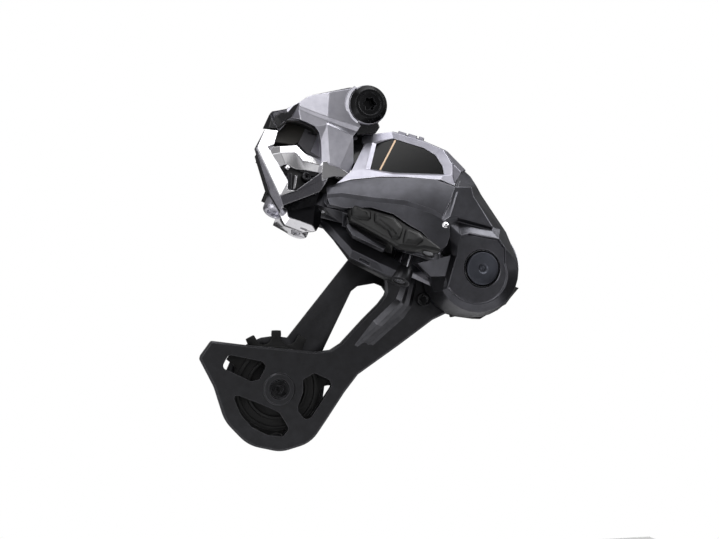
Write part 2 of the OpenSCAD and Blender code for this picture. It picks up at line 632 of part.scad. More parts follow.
module cage_inner_plate() color([0.07, 0.07, 0.08]) difference() {
    side(inner_y, inner_y1) difference() {
        polygon(concat([for (turn = [30:-15:-285]) tension_axis + 26 * [cos(turn), sin(turn)]],
                       [for (p = inner_head) from_pivot(p)]));
        for (turn = [-20, 130, 240]) translate(tension_axis) rotate(turn)
            polygon(outline([[9.5, -5, 2], [20, -11, 2], [22.5, 0, 3], [20, 11, 2], [9.5, 5, 2]]));
    }
    turned(tension_axis, -10, 20, bolt_r);
    turned(guide_axis, -10, 20, bolt_r);
    for (turn = [-60, 20, 100]) turned(guide_axis + 15 * [cos(turn), sin(turn)], inner_y - 1, inner_y1 + 1, 6);
}

// Curved bar that stops the chain leaving the guide pulley forward and below.
module chain_guard() color([0.06, 0.06, 0.06]) translate([0, 0, 0]) difference() {
    side(inner_y - 8, inner_y) polygon([for (p = [[-0.8, -22.5], [0.7, -23.9], [11.2, -25.3], [18.4, -21.2], [25.7, -17.5], [28.2, -14.3],
                                             [33.1, -8.8], [27.4, -7], [24.4, -12.2], [20.8, -16], [11.2, -22.6]]) from_pivot(p)]);
    turned(guide_axis, -10, 30, tip_r + 1);
}

module p_axle() color([0.55, 0.55, 0.57]) at_cage_axis() difference() {
    union() {
        turned([0, 0], -25.8, outer_y1 + 0.2, axle_r);
        turned([0, 0], -0.4, outer_y, 11);
    }
    translate([0, -24, 0]) rotate([90, 0, 0]) cylinder(h = 5, r = 2.2, $fn = 6);
}

module cage_stop_pin() color([0.06, 0.06, 0.06]) turned_pin([cage_axis[0] - 22.6, cage_axis[1] - 15.1]);

module turned_pin(at) difference() {
    union() {
        turned(at, -3.4, outer_y, 3.4);
        turned(at, outer_y - eps, outer_y1, 2);
    }
    turned(at, -4, -2.2, 1.4, 2);
}

// Pulley bolt from the inner plate into the outer one, with its spacer collars.
module pulley_bolt(at) difference() {
    union() {
        turned(at, outer_y + 0.6, inner_y1, bolt_r);
        turned(at, inner_y1, inner_y1 + 1.4, 4.4);
    }
    translate([at[0], inner_y1 + 0.4, at[1]]) rotate([-90, 0, 0]) cylinder(h = 3, r = 1.7, $fn = 6);
}

module guide_bolt() color([0.1, 0.1, 0.1]) pulley_bolt(guide_axis);

module tension_bolt() color([0.1, 0.1, 0.1]) {
    pulley_bolt(tension_axis);
    difference() {
        turned(tension_axis, outer_y - 1.2, outer_y + 0.6, 4.2);
        translate([tension_axis[0], outer_y + 0.3, tension_axis[1]]) rotate([90, 0, 0]) cylinder(h = 3, r = 1.9, $fn = 6);
    }
}

// ---------------------------------------------------------------- pulleys

race_mid_r = (race_in_r + race_out_r - 1.5) / 2;

module inner_race(at) difference() {
    union() {
        turned(at, outer_y1 + gap, inner_y - gap + 0.35, bolt_r + 0.8);
        turned(at, chain_y - bearing_w / 2, chain_y + bearing_w / 2, race_in_r);
    }
    turned(at, -10, 30, bolt_r);
    translate([at[0], chain_y, at[1]]) rotate([90, 0, 0]) rotate_extrude() translate([race_mid_r, 0]) circle(ball_r + fit);
}

module outer_race(at) difference() {
    turned(at, chain_y - bearing_w / 2, chain_y + bearing_w / 2, race_out_r);
    turned(at, -10, 30, race_out_r - 1.5);
    translate([at[0], chain_y, at[1]]) rotate([90, 0, 0]) rotate_extrude() translate([race_mid_r, 0]) circle(ball_r + fit);
}

module balls(at) for (k = [0:7])
    translate([at[0] + race_mid_r * cos(k * 45), chain_y, at[1] + race_mid_r * sin(k * 45)]) sphere(ball_r, $fn = 16);

// Dust shields on both faces of a bearing.
module shields(at) for (s = [-1, 1])
    translate([at[0], chain_y + s * (bearing_w / 2 + 0.35), at[1]]) rotate([90, 0, 0]) difference() {
        cylinder(h = 0.7, r = race_out_r, center = true);
        cylinder(h = 2, r = bolt_r + 1.4, center = true);
    }

module pulley(at) difference() {
    union() {
        side(chain_y - tooth_t / 2, chain_y + tooth_t / 2) difference() {
            translate(at) circle(tip_r, $fn = 96);
            for (k = [0:teeth - 1]) translate(at) rotate(90 + (k + 0.5) * 360 / teeth) {
                translate([pitch_r, 0]) circle(roller_r);
                polygon([[pitch_r - 0.5, -valley_half], [tip_r + 2, -mouth_half], [tip_r + 2, mouth_half],
                         [pitch_r - 0.5, valley_half]]);
            }
        }
        turned(at, chain_y - 2.9, chain_y + 2.9, 21);
        turned(at, chain_y - hub_w / 2 + 0.3, chain_y + hub_w / 2 - 0.3, hub_r);
    }
    for (s = [-1, 1]) difference() {
        turned(at, chain_y + s * 2.4 - 0.9, chain_y + s * 2.4 + 0.9, 19);
        turned(at, chain_y - 9, chain_y + 9, hub_r);
        difference() {
            turned(at, chain_y - 9, chain_y + 9, 15.6);
            turned(at, chain_y - 10, chain_y + 10, 14);
        }
    }
    turned(at, -10, 30, race_out_r);
}

module guide_inner_race() color([0.7, 0.7, 0.72]) inner_race(guide_axis);
module tension_inner_race() color([0.7, 0.7, 0.72]) inner_race(tension_axis);
module guide_outer_race() color([0.7, 0.7, 0.72]) outer_race(guide_axis);
module tension_outer_race() color([0.7, 0.7, 0.72]) outer_race(tension_axis);
module guide_balls() color([0.8, 0.8, 0.82]) balls(guide_axis);
module tension_balls() color([0.8, 0.8, 0.82]) balls(tension_axis);
module guide_shields() color([0.09, 0.09, 0.1]) shields(guide_axis);
module tension_shields() color([0.09, 0.09, 0.1]) shields(tension_axis);
module guide_pulley() color([0.08, 0.08, 0.08]) pulley(guide_axis);
module tension_pulley() color([0.08, 0.08, 0.08]) pulley(tension_axis);

// ---------------------------------------------------------------- shown nodes

b_axle_bolt();
stopper_plate();
axle_snap_ring();
b_bush();
bracket_body();
bracket_frame();
bracket_corner();
servo_case();
servo_cover();
servo_motor();
gear_train();
output_barrel();
bracket_foot();
case_screws();
limit_screw();
outer_pin_b();
inner_pin_b();
b_tension_screw();
function_button();
status_light();
outer_link_body();
outer_link_frame();
outer_link_plate();
outer_link_bushes();
battery();
battery_contacts();
battery_cover();
battery_latch();
inner_link_plate();
inner_link_bushes();
p_knuckle_body();
p_cap();
p_cap_ring();
outer_pin_p();
inner_pin_p();
cage_spring();
clutch_unit();
p_axle_bush();
cage_outer_plate();
cage_inner_plate();
chain_guard();
p_axle();
cage_stop_pin();
guide_bolt();
tension_bolt();
guide_inner_race();
tension_inner_race();
guide_balls();
tension_balls();
guide_pulley();
guide_outer_race();
guide_shields();
tension_pulley();
tension_outer_race();
tension_shields();
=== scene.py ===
"""Studio scene of an electronic rear derailleur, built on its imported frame."""

import json
import logging
import math
from dataclasses import dataclass
from enum import Enum

import bmesh
import bpy
from mathutils import Matrix, Vector


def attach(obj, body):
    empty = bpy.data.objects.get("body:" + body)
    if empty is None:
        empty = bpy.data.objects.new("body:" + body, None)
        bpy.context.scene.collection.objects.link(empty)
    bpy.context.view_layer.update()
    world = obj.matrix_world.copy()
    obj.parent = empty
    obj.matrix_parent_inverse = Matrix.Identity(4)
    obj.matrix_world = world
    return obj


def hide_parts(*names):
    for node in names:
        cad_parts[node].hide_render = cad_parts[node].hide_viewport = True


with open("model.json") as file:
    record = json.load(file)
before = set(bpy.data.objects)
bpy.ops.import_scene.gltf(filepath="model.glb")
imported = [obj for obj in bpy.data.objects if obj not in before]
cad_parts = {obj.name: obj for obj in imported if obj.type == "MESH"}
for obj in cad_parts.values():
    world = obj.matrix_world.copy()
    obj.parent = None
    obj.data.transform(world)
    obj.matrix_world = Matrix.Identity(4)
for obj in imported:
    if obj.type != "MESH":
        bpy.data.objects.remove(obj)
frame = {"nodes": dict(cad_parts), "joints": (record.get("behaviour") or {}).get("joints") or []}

log = logging.getLogger("derailleur")

MM = 0.001
WELD_ON_BENCH = 0.0005  # corners closer than this are one, in millimetres
WELD_IN_ROW = 0.000004  # the same for a copy of a frame node, in metres
FLAT_LIMIT = 1  # degrees between two faces of a copy that count as one flat face
COPY_EDGE = 32  # smallest angle in degrees that counts as an edge of a copy
Point = tuple[float, ...]
Outline = list[Point]


# ---------------------------------------------------------------- places


@dataclass(frozen=True)
class Bench:
    """A place to model at: millimetres along x and y, and height along x cross y."""

    origin: Vector
    x: Vector
    y: Vector

    def matrix(self) -> Matrix:
        """Matrix from bench millimetres to the row's metres.

        Returns:
            The matrix.
        """
        z = self.x.cross(self.y)
        turn = Matrix((self.x, self.y, z)).transposed().to_4x4()
        return Matrix.Translation(self.origin) @ turn @ Matrix.Scale(MM, 4)

    def height(self, place: Vector) -> float:
        """Height of a place above the bench.

        Args:
            place: Place in metres.

        Returns:
            Height in millimetres.
        """
        return (place - self.origin).dot(self.x.cross(self.y)) / MM


def joint(name: str) -> dict:
    """Record entry of one joint.

    Args:
        name: Name of the joint.

    Returns:
        The entry.
    """
    return next(j for j in frame["joints"] if j["name"] == name)


def joint_place(name: str) -> Vector:
    """Pivot of one joint.

    Args:
        name: Name of the joint.

    Returns:
        Its place in metres.
    """
    return Vector(joint(name)["pos_m"])


def across(name: str) -> tuple[float, float]:
    """Place of a joint that turns about Y.

    Args:
        name: Name of the joint.

    Returns:
        Its X and Z in millimetres.
    """
    place = joint_place(name)
    return place.x / MM, place.z / MM


PIN = Vector(joint("shift")["axis"]).normalized()
FORE = Vector((PIN.z, 0, -PIN.x)).normalized()
LINK_START = joint_place("shift")
INNER_START = joint_place("inner_link_pivot")
ALONG = (joint_place("outer_knuckle_pivot") - LINK_START).normalized()

SIDE = Bench(Vector((0, 0, 0)), Vector((1, 0, 0)), Vector((0, 0, 1)))
PIVOTS = Bench(LINK_START, FORE, PIN)
LINK = Bench(LINK_START, ALONG, PIN)
INNER = Bench(INNER_START, ALONG, PIN)
CAGE = across("cage_swing")
GUIDE = across("guide_spin")
TENSION = across("tension_spin")


def unit(point: Point) -> Vector:
    """Unit vector along a flat point.

    Args:
        point: Its x and y.

    Returns:
        The vector.
    """
    return Vector(point).to_2d().normalized()


def rounded(points: Outline, centre: Point = (0, 0), steps: int = 5) -> Outline:
    """Outline whose three-value corners become arcs of that radius.

    Args:
        points: Corners as (x, y) or (x, y, radius).
        centre: Shift of the whole outline.
        steps: Pieces in each arc.

    Returns:
        Plain (x, y) points.
    """
    made = []
    count = len(points)
    for i, corner in enumerate(points):
        at = Vector(corner[:2])
        if len(corner) == 2:
            made.append(at)
            continue
        u = unit(Vector(points[i - 1][:2]) - at)
        v = unit(Vector(points[(i + 1) % count][:2]) - at)
        half = u.angle(v) / 2
        mid = at + (u + v).normalized() * corner[2] / math.sin(half)
        start = at + u * corner[2] / math.tan(half) - mid
        stop = at + v * corner[2] / math.tan(half) - mid
        sweep = -start.angle_signed(stop)
        for k in range(steps + 1):
            made.append(mid + Matrix.Rotation(sweep * k / steps, 2) @ start)
    return [(p[0] + centre[0], p[1] + centre[1]) for p in made]


def ring(radius: float, centre: Point = (0, 0), count: int = 64) -> Outline:
    """Points of a circle.

    Args:
        radius: Circle's radius.
        centre: Circle's centre.
        count: Number of points.

    Returns:
        Points in order.
    """
    turns = [2 * math.pi * k / count for k in range(count)]
    return [(centre[0] + radius * math.cos(t), centre[1] + radius * math.sin(t)) for t in turns]


def shrunk(points: Outline, inset: float) -> Outline:
    """Outline moved inwards all round.

    Args:
        points: Closed outline.
        inset: Distance inwards; negative grows it.

    Returns:
        The moved points, as many as before.
    """
    count = len(points)
    area = sum(points[i - 1][0] * points[i][1] - points[i][0] * points[i - 1][1] for i in range(count))
    side = 1 if area > 0 else -1
    moved = []
    for i, point in enumerate(points):
        before = unit((point[0] - points[i - 1][0], point[1] - points[i - 1][1]))
        after = unit((points[(i + 1) % count][0] - point[0], points[(i + 1) % count][1] - point[1]))
        normal = Vector((-before.y - after.y, before.x + after.x))
        reach = 2 * inset / max(normal.length_squared, 0.6)
        moved.append((point[0] + side * normal.x * reach, point[1] + side * normal.y * reach))
    return moved


# ---------------------------------------------------------------- modelling


def deselect() -> None:
    """Leaves nothing selected, in object mode."""
    bpy.ops.object.select_all(action="DESELECT")


def flat_loop(name: str, points: Outline, filled: bool = True) -> bpy.types.Object:
    """Starts a piece as a circle whose corners are moved to given places.

    Args:
        name: Name of the piece.
        points: Corners as (x, y, z).
        filled: Whether the loop is one face.

    Returns:
        The object, left in edit mode with everything selected.
    """
    deselect()
    fill = "NGON" if filled else "NOTHING"
    bpy.ops.mesh.primitive_circle_add(vertices=len(points), radius=1, fill_type=fill)
    piece = bpy.context.object
    piece.name = piece.data.name = name
    bpy.ops.object.mode_set(mode="EDIT")
    bpy.ops.mesh.select_mode(type="VERT")
    shape = bmesh.from_edit_mesh(piece.data)
    for vert, point in zip(shape.verts, points):
        vert.co = point
    bmesh.update_edit_mesh(piece.data)
    bpy.ops.mesh.select_all(action="SELECT")
    return piece


def close_up(piece: bpy.types.Object) -> bpy.types.Object:
    """Merges doubles, turns faces outwards and leaves edit mode.

    Args:
        piece: Piece in edit mode.

    Returns:
        The piece.
    """
    bpy.ops.mesh.select_all(action="SELECT")
    bpy.ops.mesh.remove_doubles(threshold=WELD_ON_BENCH)
    bpy.ops.mesh.normals_make_consistent(inside=False)
    bpy.ops.object.mode_set(mode="OBJECT")
    return piece


def lofted(name: str, rings: list[Outline]) -> bpy.types.Object:
    """Solid through rings that all have the same number of points.

    Args:
        name: Name of the piece.
        rings: Rings of (x, y, z) points, from one end to the other.

    Returns:
        The closed piece.
    """
    piece = flat_loop(name, rings[0])
    last = rings[0]
    for target in rings[1:]:
        bpy.ops.mesh.extrude_region_move(TRANSFORM_OT_translate={"value": (0, 0, 0)})
        shape = bmesh.from_edit_mesh(piece.data)
        for vert in [v for v in shape.verts if v.select]:
            near = min(range(len(last)), key=lambda k: (vert.co - Vector(last[k])).length_squared)
            vert.co = target[near]
        bmesh.update_edit_mesh(piece.data)
        last = target
    return close_up(piece)


def chamfered(name: str, points: Outline, steps: list[Point]) -> bpy.types.Object:
    """Flat piece whose edge steps in and out as it rises.

    Args:
        name: Name of the piece.
        points: Its outline.
        steps: Pairs of inset and height, from the back to the front.

    Returns:
        The closed piece.
    """
    return lofted(name, [[(*p, height) for p in shrunk(points, inset)] for inset, height in steps])


def turned(name: str, profile: list[Point], centre: Point = (0, 0), count: int = 64) -> bpy.types.Object:
    """Solid turned about the bench's height.

    Args:
        name: Name of the piece.
        profile: Pairs of radius and height.
        centre: Place of the axis.
        count: Sides of the circle.

    Returns:
        The closed piece.
    """
    return lofted(name, [[(*p, height) for p in ring(radius, centre, count)] for radius, height in profile])


def facets(name: str, corners: dict[str, Point], faces: list[str], back: float) -> bpy.types.Object:
    """Forged face made of flat facets, with a flat back.

    Args:
        name: Name of the piece.
        corners: Named (x, y, z) corners.
        faces: Each facet's corner names, in order, split by spaces.
        back: Height of the flat back.

    Returns:
        The closed piece.
    """
    names = list(corners)
    piece = flat_loop(name, [corners[n] for n in names], filled=False)
    bpy.ops.mesh.delete(type="EDGE_FACE")
    for face in faces:
        bpy.ops.mesh.select_all(action="DESELECT")
        shape = bmesh.from_edit_mesh(piece.data)
        shape.verts.ensure_lookup_table()
        loop = [shape.verts[names.index(n)] for n in face.split()]
        if shape.faces.get(loop) is None:
            shape.faces.new(loop)
        bmesh.update_edit_mesh(piece.data)
    bpy.ops.mesh.select_all(action="SELECT")
    bpy.ops.mesh.normals_make_consistent(inside=False)
    bpy.ops.mesh.extrude_region_move(TRANSFORM_OT_translate={"value": (0, 0, -1)})
    shape = bmesh.from_edit_mesh(piece.data)
    for vert in [v for v in shape.verts if v.select]:
        vert.co.z = back
    bmesh.update_edit_mesh(piece.data)
    return close_up(piece)


def cut(piece: bpy.types.Object, *cutters: bpy.types.Object, keep: str = "DIFFERENCE") -> bpy.types.Object:
    """Cuts cutters out of a piece, or joins them to it, and removes them.

    Args:
        piece: Piece that stays.
        cutters: Pieces that are used up.
        keep: Boolean operation.

    Returns:
        The piece.
    """
    for cutter in cutters:
        modifier = piece.modifiers.new("cut", "BOOLEAN")
        modifier.operation = keep
        modifier.solver = "EXACT"
        modifier.object = cutter
        apply_modifiers(piece)
        bpy.data.objects.remove(cutter)
    return piece


def apply_modifiers(piece: bpy.types.Object) -> None:
    """Applies every modifier of a piece.

    Args:
        piece: The piece.
    """
    deselect()
    bpy.context.view_layer.objects.active = piece
    piece.select_set(True)
    for name in [m.name for m in piece.modifiers]:
        bpy.ops.object.modifier_apply(modifier=name)


def eased(piece: bpy.types.Object, width: float, limit: float = 12, segments: int = 2) -> bpy.types.Object:
    """Breaks the sharp edges of a piece and shades it.

    Args:
        piece: Piece to finish.
        width: Width of the broken edge in the piece's own units.
        limit: Smallest angle in degrees that counts as an edge.
        segments: Faces across each broken edge.

    Returns:
        The piece.
    """
    for polygon in piece.data.polygons:
        polygon.use_smooth = True
    modifier = piece.modifiers.new("edges", "BEVEL")
    modifier.width = width
    modifier.segments = segments
    modifier.limit_method = "ANGLE"
    modifier.angle_limit = math.radians(limit)
    modifier.harden_normals = True
    modifier.miter_outer = "MITER_ARC"
    apply_modifiers(piece)
    return piece


def placed(piece: bpy.types.Object, bench: Bench) -> bpy.types.Object:
    """Moves a piece from its bench to its place, and leaves its object at the origin.

    Args:
        piece: Piece in bench millimetres.
        bench: Its bench.

    Returns:
        The piece.
    """
    piece.matrix_world = bench.matrix()
    deselect()
    bpy.context.view_layer.objects.active = piece
    piece.select_set(True)
    bpy.ops.object.transform_apply(location=True, rotation=True, scale=True)
    return piece


def joined(name: str, *parts: bpy.types.Object) -> bpy.types.Object:
    """Makes several placed parts one piece.

    Args:
        name: Name of the piece.
        parts: Its parts.

    Returns:
        The piece.
    """
    deselect()
    for part in parts:
        part.select_set(True)
    bpy.context.view_layer.objects.active = parts[0]
    bpy.ops.object.join()
    piece = bpy.context.object
    piece.name = piece.data.name = name
    return piece


def copied(node: str, name: str, bench: Bench | None = None, ceiling: float = 0) -> bpy.types.Object:
    """Copy of a frame node with its doubles merged and flat faces made whole.

    Args:
        node: Node to copy.
        name: Name of the copy.
        bench: Bench whose height limits the copy, if any.
        ceiling: Height in millimetres above which the copy is pressed flat.

    Returns:
        The copy, without materials.
    """
    source = frame["nodes"][node]
    piece = bpy.data.objects.new(name, source.data.copy())
    bpy.context.scene.collection.objects.link(piece)
    piece.data.materials.clear()
    deselect()
    bpy.context.view_layer.objects.active = piece
    piece.select_set(True)
    bpy.ops.object.mode_set(mode="EDIT")
    bpy.ops.mesh.select_all(action="SELECT")
    bpy.ops.mesh.remove_doubles(threshold=WELD_IN_ROW)
    bpy.ops.mesh.dissolve_limited(angle_limit=math.radians(FLAT_LIMIT))
    bpy.ops.object.mode_set(mode="OBJECT")
    if bench:
        up = bench.x.cross(bench.y)
        for vert in piece.data.vertices:
            vert.co -= up * max(0, bench.height(vert.co) - ceiling) * MM
    return piece


def forged(name: str, corners: dict[str, Point], faces: list[str], back: float, bench: Bench,
           width: float = 0.35, limit: float = 8, segments: int = 2) -> bpy.types.Object:
    """Faceted piece with broken edges, in its place.

    Args:
        name: Name of the piece.
        corners: Named (x, y, z) corners.
        faces: Each facet's corner names, in order, split by spaces.
        back: Height of the flat back.
        bench: Bench it is modelled at.
        width: Width of the broken edges.
        limit: Smallest angle in degrees that counts as an edge.
        segments: Faces across each broken edge.

    Returns:
        The piece.
    """
    return placed(eased(facets(name, corners, faces, back), width, limit, segments), bench)


def softened(node: str, name: str, width: float, bench: Bench | None = None,
             ceiling: float = 0) -> bpy.types.Object:
    """Copy of a frame node with broken edges.

    Args:
        node: Node to copy.
        name: Name of the copy.
        width: Width of the broken edges in millimetres.
        bench: Bench whose height limits the copy, if any.
        ceiling: Height in millimetres above which the copy is pressed flat.

    Returns:
        The copy, without materials.
    """
    return eased(copied(node, name, bench, ceiling), width * MM, COPY_EDGE)


# ---------------------------------------------------------------- finishes


def linear(code: str) -> tuple[float, float, float, float]:
    """Linear colour of an sRGB hex value.

    Args:
        code: Six hex digits.

    Returns:
        Red, green, blue and an alpha of 1.
    """
    parts = [int(code[i:i + 2], 16) / 255 for i in (0, 2, 4)]
    return (*[c / 12.92 if c <= 0.04045 else ((c + 0.055) / 1.055) ** 2.4 for c in parts], 1.0)


def add_node(tree: bpy.types.NodeTree, kind: str, settings: dict | None = None,
             links: dict | None = None) -> bpy.types.Node:
    """Adds a node to a tree.

    Args:
        tree: Node tree.
        kind: Node type without its prefix.
        settings: Attributes, or socket values where the name is a socket.
        links: Sockets and the outputs that feed them.

    Returns:
        The node.
    """
    made = tree.nodes.new("ShaderNode" + kind)
    for name, value in (settings or {}).items():
        if name in made.inputs:
            made.inputs[name].default_value = value
        else:
            setattr(made, name, value)
    for name, output in (links or {}).items():
        tree.links.new(output, made.inputs[name])
    return made


class Pattern(Enum):
    """How a finish breaks up light at close range."""

    BLASTED = "blasted"
    BRUSHED = "brushed"
    MOULDED = "moulded"
    POLISHED = "polished"


@dataclass(frozen=True)
class Finish:
    """A material and the process that made its surface; its edge colour is partly wear and partly painted
    highlight.
    """

    name: str
    colour: str
    second: str
    metallic: float
    roughness: float
    grain: float = 0.4
    depth: float = 0.02
    pattern: Pattern = Pattern.BLASTED
    # Edge colour: partly wear, partly painted highlight
    edge: str = ""
    coat: float = 0.0
    spread: float = 0.06
    specular: float = 0.5

    def material(self) -> bpy.types.Material:
        """Material of this finish, made once.

        Returns:
            The material.
        """
        known = bpy.data.materials.get(self.name)
        if known:
            return known
        made = bpy.data.materials.new(self.name)
        made.use_nodes = True
        tree = made.node_tree
        tree.nodes.clear()
        fine, broad = self.noises(tree)
        colour = self.mixed(tree, self.colour, self.second, broad)
        # Edges take the edge colour: partly wear, partly painted highlight
        if self.edge:
            colour = self.worn_and_highlit_edges(tree, colour)
        rough = add_node(tree, "MapRange", {"To Min": self.roughness - self.spread,
                                            "To Max": self.roughness + self.spread}, {"Value": broad})
        bump = add_node(tree, "Bump", {"Strength": 1.0, "Distance": self.depth * MM}, {"Height": fine})
        shader = add_node(tree, "BsdfPrincipled", {"Metallic": self.metallic, "Coat Weight": self.coat,
                                                   "Coat Roughness": 0.08,
                                                   "Specular IOR Level": self.specular},
                          {"Base Color": colour, "Roughness": rough.outputs[0], "Normal": bump.outputs[0]})
        add_node(tree, "OutputMaterial", {}, {"Surface": shader.outputs[0]})
        return made

    def noises(self, tree: bpy.types.NodeTree) -> tuple[bpy.types.NodeSocket, bpy.types.NodeSocket]:
        """Fine pattern for the bump and a broad one for colour and gloss.

        Args:
            tree: Node tree.

        Returns:
            The fine and the broad output.
        """
        place = add_node(tree, "TexCoord").outputs["Object"]
        step = 1 / (self.grain * MM)
        stretch = {Pattern.BRUSHED: (step * 0.06, step, step)}.get(self.pattern, (step, step, step))
        scaled = add_node(tree, "Mapping", {"Scale": stretch}, {"Vector": place}).outputs[0]
        if self.pattern is Pattern.MOULDED:
            fine = add_node(tree, "TexVoronoi", {"Scale": 1.0, "feature": "SMOOTH_F1"}, {"Vector": scaled})
        else:
            fine = add_node(tree, "TexNoise", {"Scale": 1.0, "Detail": 3.0}, {"Vector": scaled})
        wide = add_node(tree, "Mapping", {"Scale": (step * 0.05,) * 3}, {"Vector": place}).outputs[0]
        broad = add_node(tree, "TexNoise", {"Scale": 1.0, "Detail": 8.0, "Roughness": 0.65}, {"Vector": wide})
        return fine.outputs[0], broad.outputs[0]

    def mixed(self, tree: bpy.types.NodeTree, one: str, two: str,
              factor: bpy.types.NodeSocket) -> bpy.types.NodeSocket:
        """Colour between two hex values.

        Args:
            tree: Node tree.
            one: Colour at a factor of 0.
            two: Colour at a factor of 1.
            factor: Output that drives the mix.

        Returns:
            The colour output.
        """
        ramp = add_node(tree, "ValToRGB", {}, {"Fac": factor})
        ramp.color_ramp.elements[0].position = 0.35
        ramp.color_ramp.elements[0].color = linear(one)
        ramp.color_ramp.elements[1].position = 0.65
        ramp.color_ramp.elements[1].color = linear(two)
        return ramp.outputs[0]

    def worn_and_highlit_edges(self, tree: bpy.types.NodeTree, colour: bpy.types.NodeSocket) -> bpy.types.NodeSocket:
        """Colours the edges: partly a finish rubbed thin, partly a painted highlight where edges would catch
        the light.

        Args:
            tree: Node tree.
            colour: Colour of the untouched surface.

        Returns:
            The colour output.
        """
        # Mask of the edges that get the wear and painted highlight colour
        soft = add_node(tree, "Bevel", {"Radius": 0.5 * MM, "samples": 4})
        true = add_node(tree, "NewGeometry")
        agree = add_node(tree, "VectorMath", {"operation": "DOT_PRODUCT"})
        tree.links.new(soft.outputs[0], agree.inputs[0])
        tree.links.new(true.outputs["Normal"], agree.inputs[1])
        share = add_node(tree, "MapRange", {"From Min": 0.99, "From Max": 0.86, "To Max": 0.8},
                         {"Value": agree.outputs["Value"]})
        mix = add_node(tree, "Mix", {"data_type": "RGBA"})
        tree.links.new(share.outputs[0], mix.inputs[0])
        tree.links.new(colour, mix.inputs[6])
        mix.inputs[7].default_value = linear(self.edge)
        return mix.outputs[2]


# Forged aluminium, bead blasted and clear anodised: soft satin grey with a fine sparkle
BLASTED_GREY = Finish("forged aluminium bead blasted", "c4c3cc", "b0afb9", 0.95, 0.34, 0.35, 0.012,
                      edge="e6e5ea")
# Aluminium polished bright: mirror-like with faint hand marks
POLISHED = Finish("aluminium polished", "e4e3e6", "d5d4d9", 1.0, 0.16, 0.5, 0.004, Pattern.BRUSHED,
                  spread=0.04)
# Forged aluminium with a satin anodised skin: light grey that never mirrors sharply, with bright edges that
# are partly rubbed and partly painted highlight
LINK_SILVER = Finish("forged aluminium satin anodised", "abaab4", "9b9aa5", 0.95, 0.36, 0.35, 0.008,
                     edge="ececf0")
# Hard anodised end block of the link: grey lilac, between the silver and the charcoal
BLOCK_GREY = Finish("forged aluminium grey anodised", "7c7b83", "706f77", 0.9, 0.34, 0.3, 0.01, edge="8c8b92")
# Forged arm painted mid grey as painted shade, where it faces away from the light; its bright edges are
# partly rubbed and partly painted highlight
PAINTED_SHADE_GREY = Finish("aluminium painted in shade", "6a696f", "5c5b61", 0.95, 0.28, 0.3, 0.006,
                     edge="d0d0d4")
# Black anodised insert: nearly no light comes back from it
INSERT_BLACK = Finish("aluminium insert black anodised", "222226", "1c1c1f", 0.8, 0.32, 0.3, 0.006)
# Steel bush with a dark sliding layer: a black ring at each pivot
BUSH_DARK = Finish("steel bush lined", "1c1c1e", "151517", 0.5, 0.4, 0.2, 0.01)
# Raised rib of the cage, anodised like the plate but painted lighter: painted highlight along its two bevels
RIB_PAINTED_HIGHLIGHT = Finish("aluminium rib with painted highlight", "5e5e62", "545458", 0.95, 0.3, 0.3, 0.006, edge="a8a8ac")
# Hard anodised forged aluminium, charcoal satin with pale edges, partly wear and partly painted highlight
DARK_ANODISED = Finish("forged aluminium hard anodised", "4e4e53", "454549", 0.95, 0.33, 0.3, 0.006,
                       edge="8f8e95")
# Anodised machined plate of the cage, near black
CAGE_ANODISED = Finish("aluminium plate anodised", "3e3e41", "373739", 0.9, 0.34, 0.3, 0.006, edge="707074")
# Painted and lacquered magnesium: dark and glossy
DARK_GLOSS = Finish("magnesium lacquered", "1d1d20", "17171a", 0.4, 0.26, 0.6, 0.004, edge="4a4a4e", coat=0.3)
# Glass-filled nylon moulding: dull black with a fine pebble
BLACK_NYLON = Finish("glass filled nylon moulded", "0a0a0b", "0e0e0f", 0.0, 0.5, 0.35, 0.012,
                     Pattern.MOULDED, specular=0.35)
# Silicone rubber moulding: matt, slightly grey black
RUBBER = Finish("silicone rubber moulded", "09090a", "0d0d0e", 0.0, 0.45, 0.3, 0.008, Pattern.MOULDED,
                spread=0.08, specular=0.4)
# Steel turned and ground: bright, with fine lines round the bars
STEEL = Finish("steel ground", "a8a8ac", "97979c", 1.0, 0.28, 0.4, 0.006, Pattern.BRUSHED)
# Steel blackened: dark oxide with bright edges, partly worn and partly painted highlight
BLACK_STEEL = Finish("steel black oxide", "18181a", "101012", 0.7, 0.24, 0.4, 0.006, Pattern.BRUSHED,
                     edge="56565a")
# Sintered bronze bush: warm and grainy where it shows at a bore
BRONZE = Finish("bronze sintered", "5a4a2c", "4c3e26", 1.0, 0.42, 0.2, 0.02)
# Gold plated contact springs: small warm glints behind the door
GOLD = Finish("copper alloy gold plated", "c9a24a", "bf983f", 1.0, 0.22, 0.3, 0.004, Pattern.POLISHED)
# Glossy acrylic over black print: deep black with one soft reflection
GLASS = Finish("acrylic polished over black", "060607", "09090b", 0.0, 0.16, 2.0, 0.0005, Pattern.POLISHED,
               spread=0.02, specular=0.3)
# Champagne polished line let into the plate: one thin warm stroke
CHAMPAGNE = Finish("aluminium champagne polished", "d9bfa4", "cfb296", 0.6, 0.3, 0.5, 0.002, Pattern.BRUSHED)
# Anodised cap: bluish grey satin, quieter than the forging round it
CAP_GREY = Finish("aluminium turned anodised", "4c4e56", "44464d", 0.9, 0.36, 0.3, 0.005, Pattern.BRUSHED,
                  edge="4a4b52")
# Battery's moulded shell: dull dark grey that tells the cell from its bay
CELL = Finish("polycarbonate textured", "2a2a2c", "313133", 0.0, 0.5, 0.4, 0.02, Pattern.MOULDED)
# Warm dark plastic of the gear case's front: brownish against the cold metal
CASE_FRONT = Finish("nylon painted warm grey", "2b2926", "252321", 0.1, 0.42, 0.4, 0.006, Pattern.MOULDED)
# Lighter plastic of the case's second panel: a step up in grey beside the first
CASE_SIDE = Finish("nylon painted mid grey", "545357", "4c4b4f", 0.2, 0.38, 0.4, 0.006, Pattern.MOULDED)
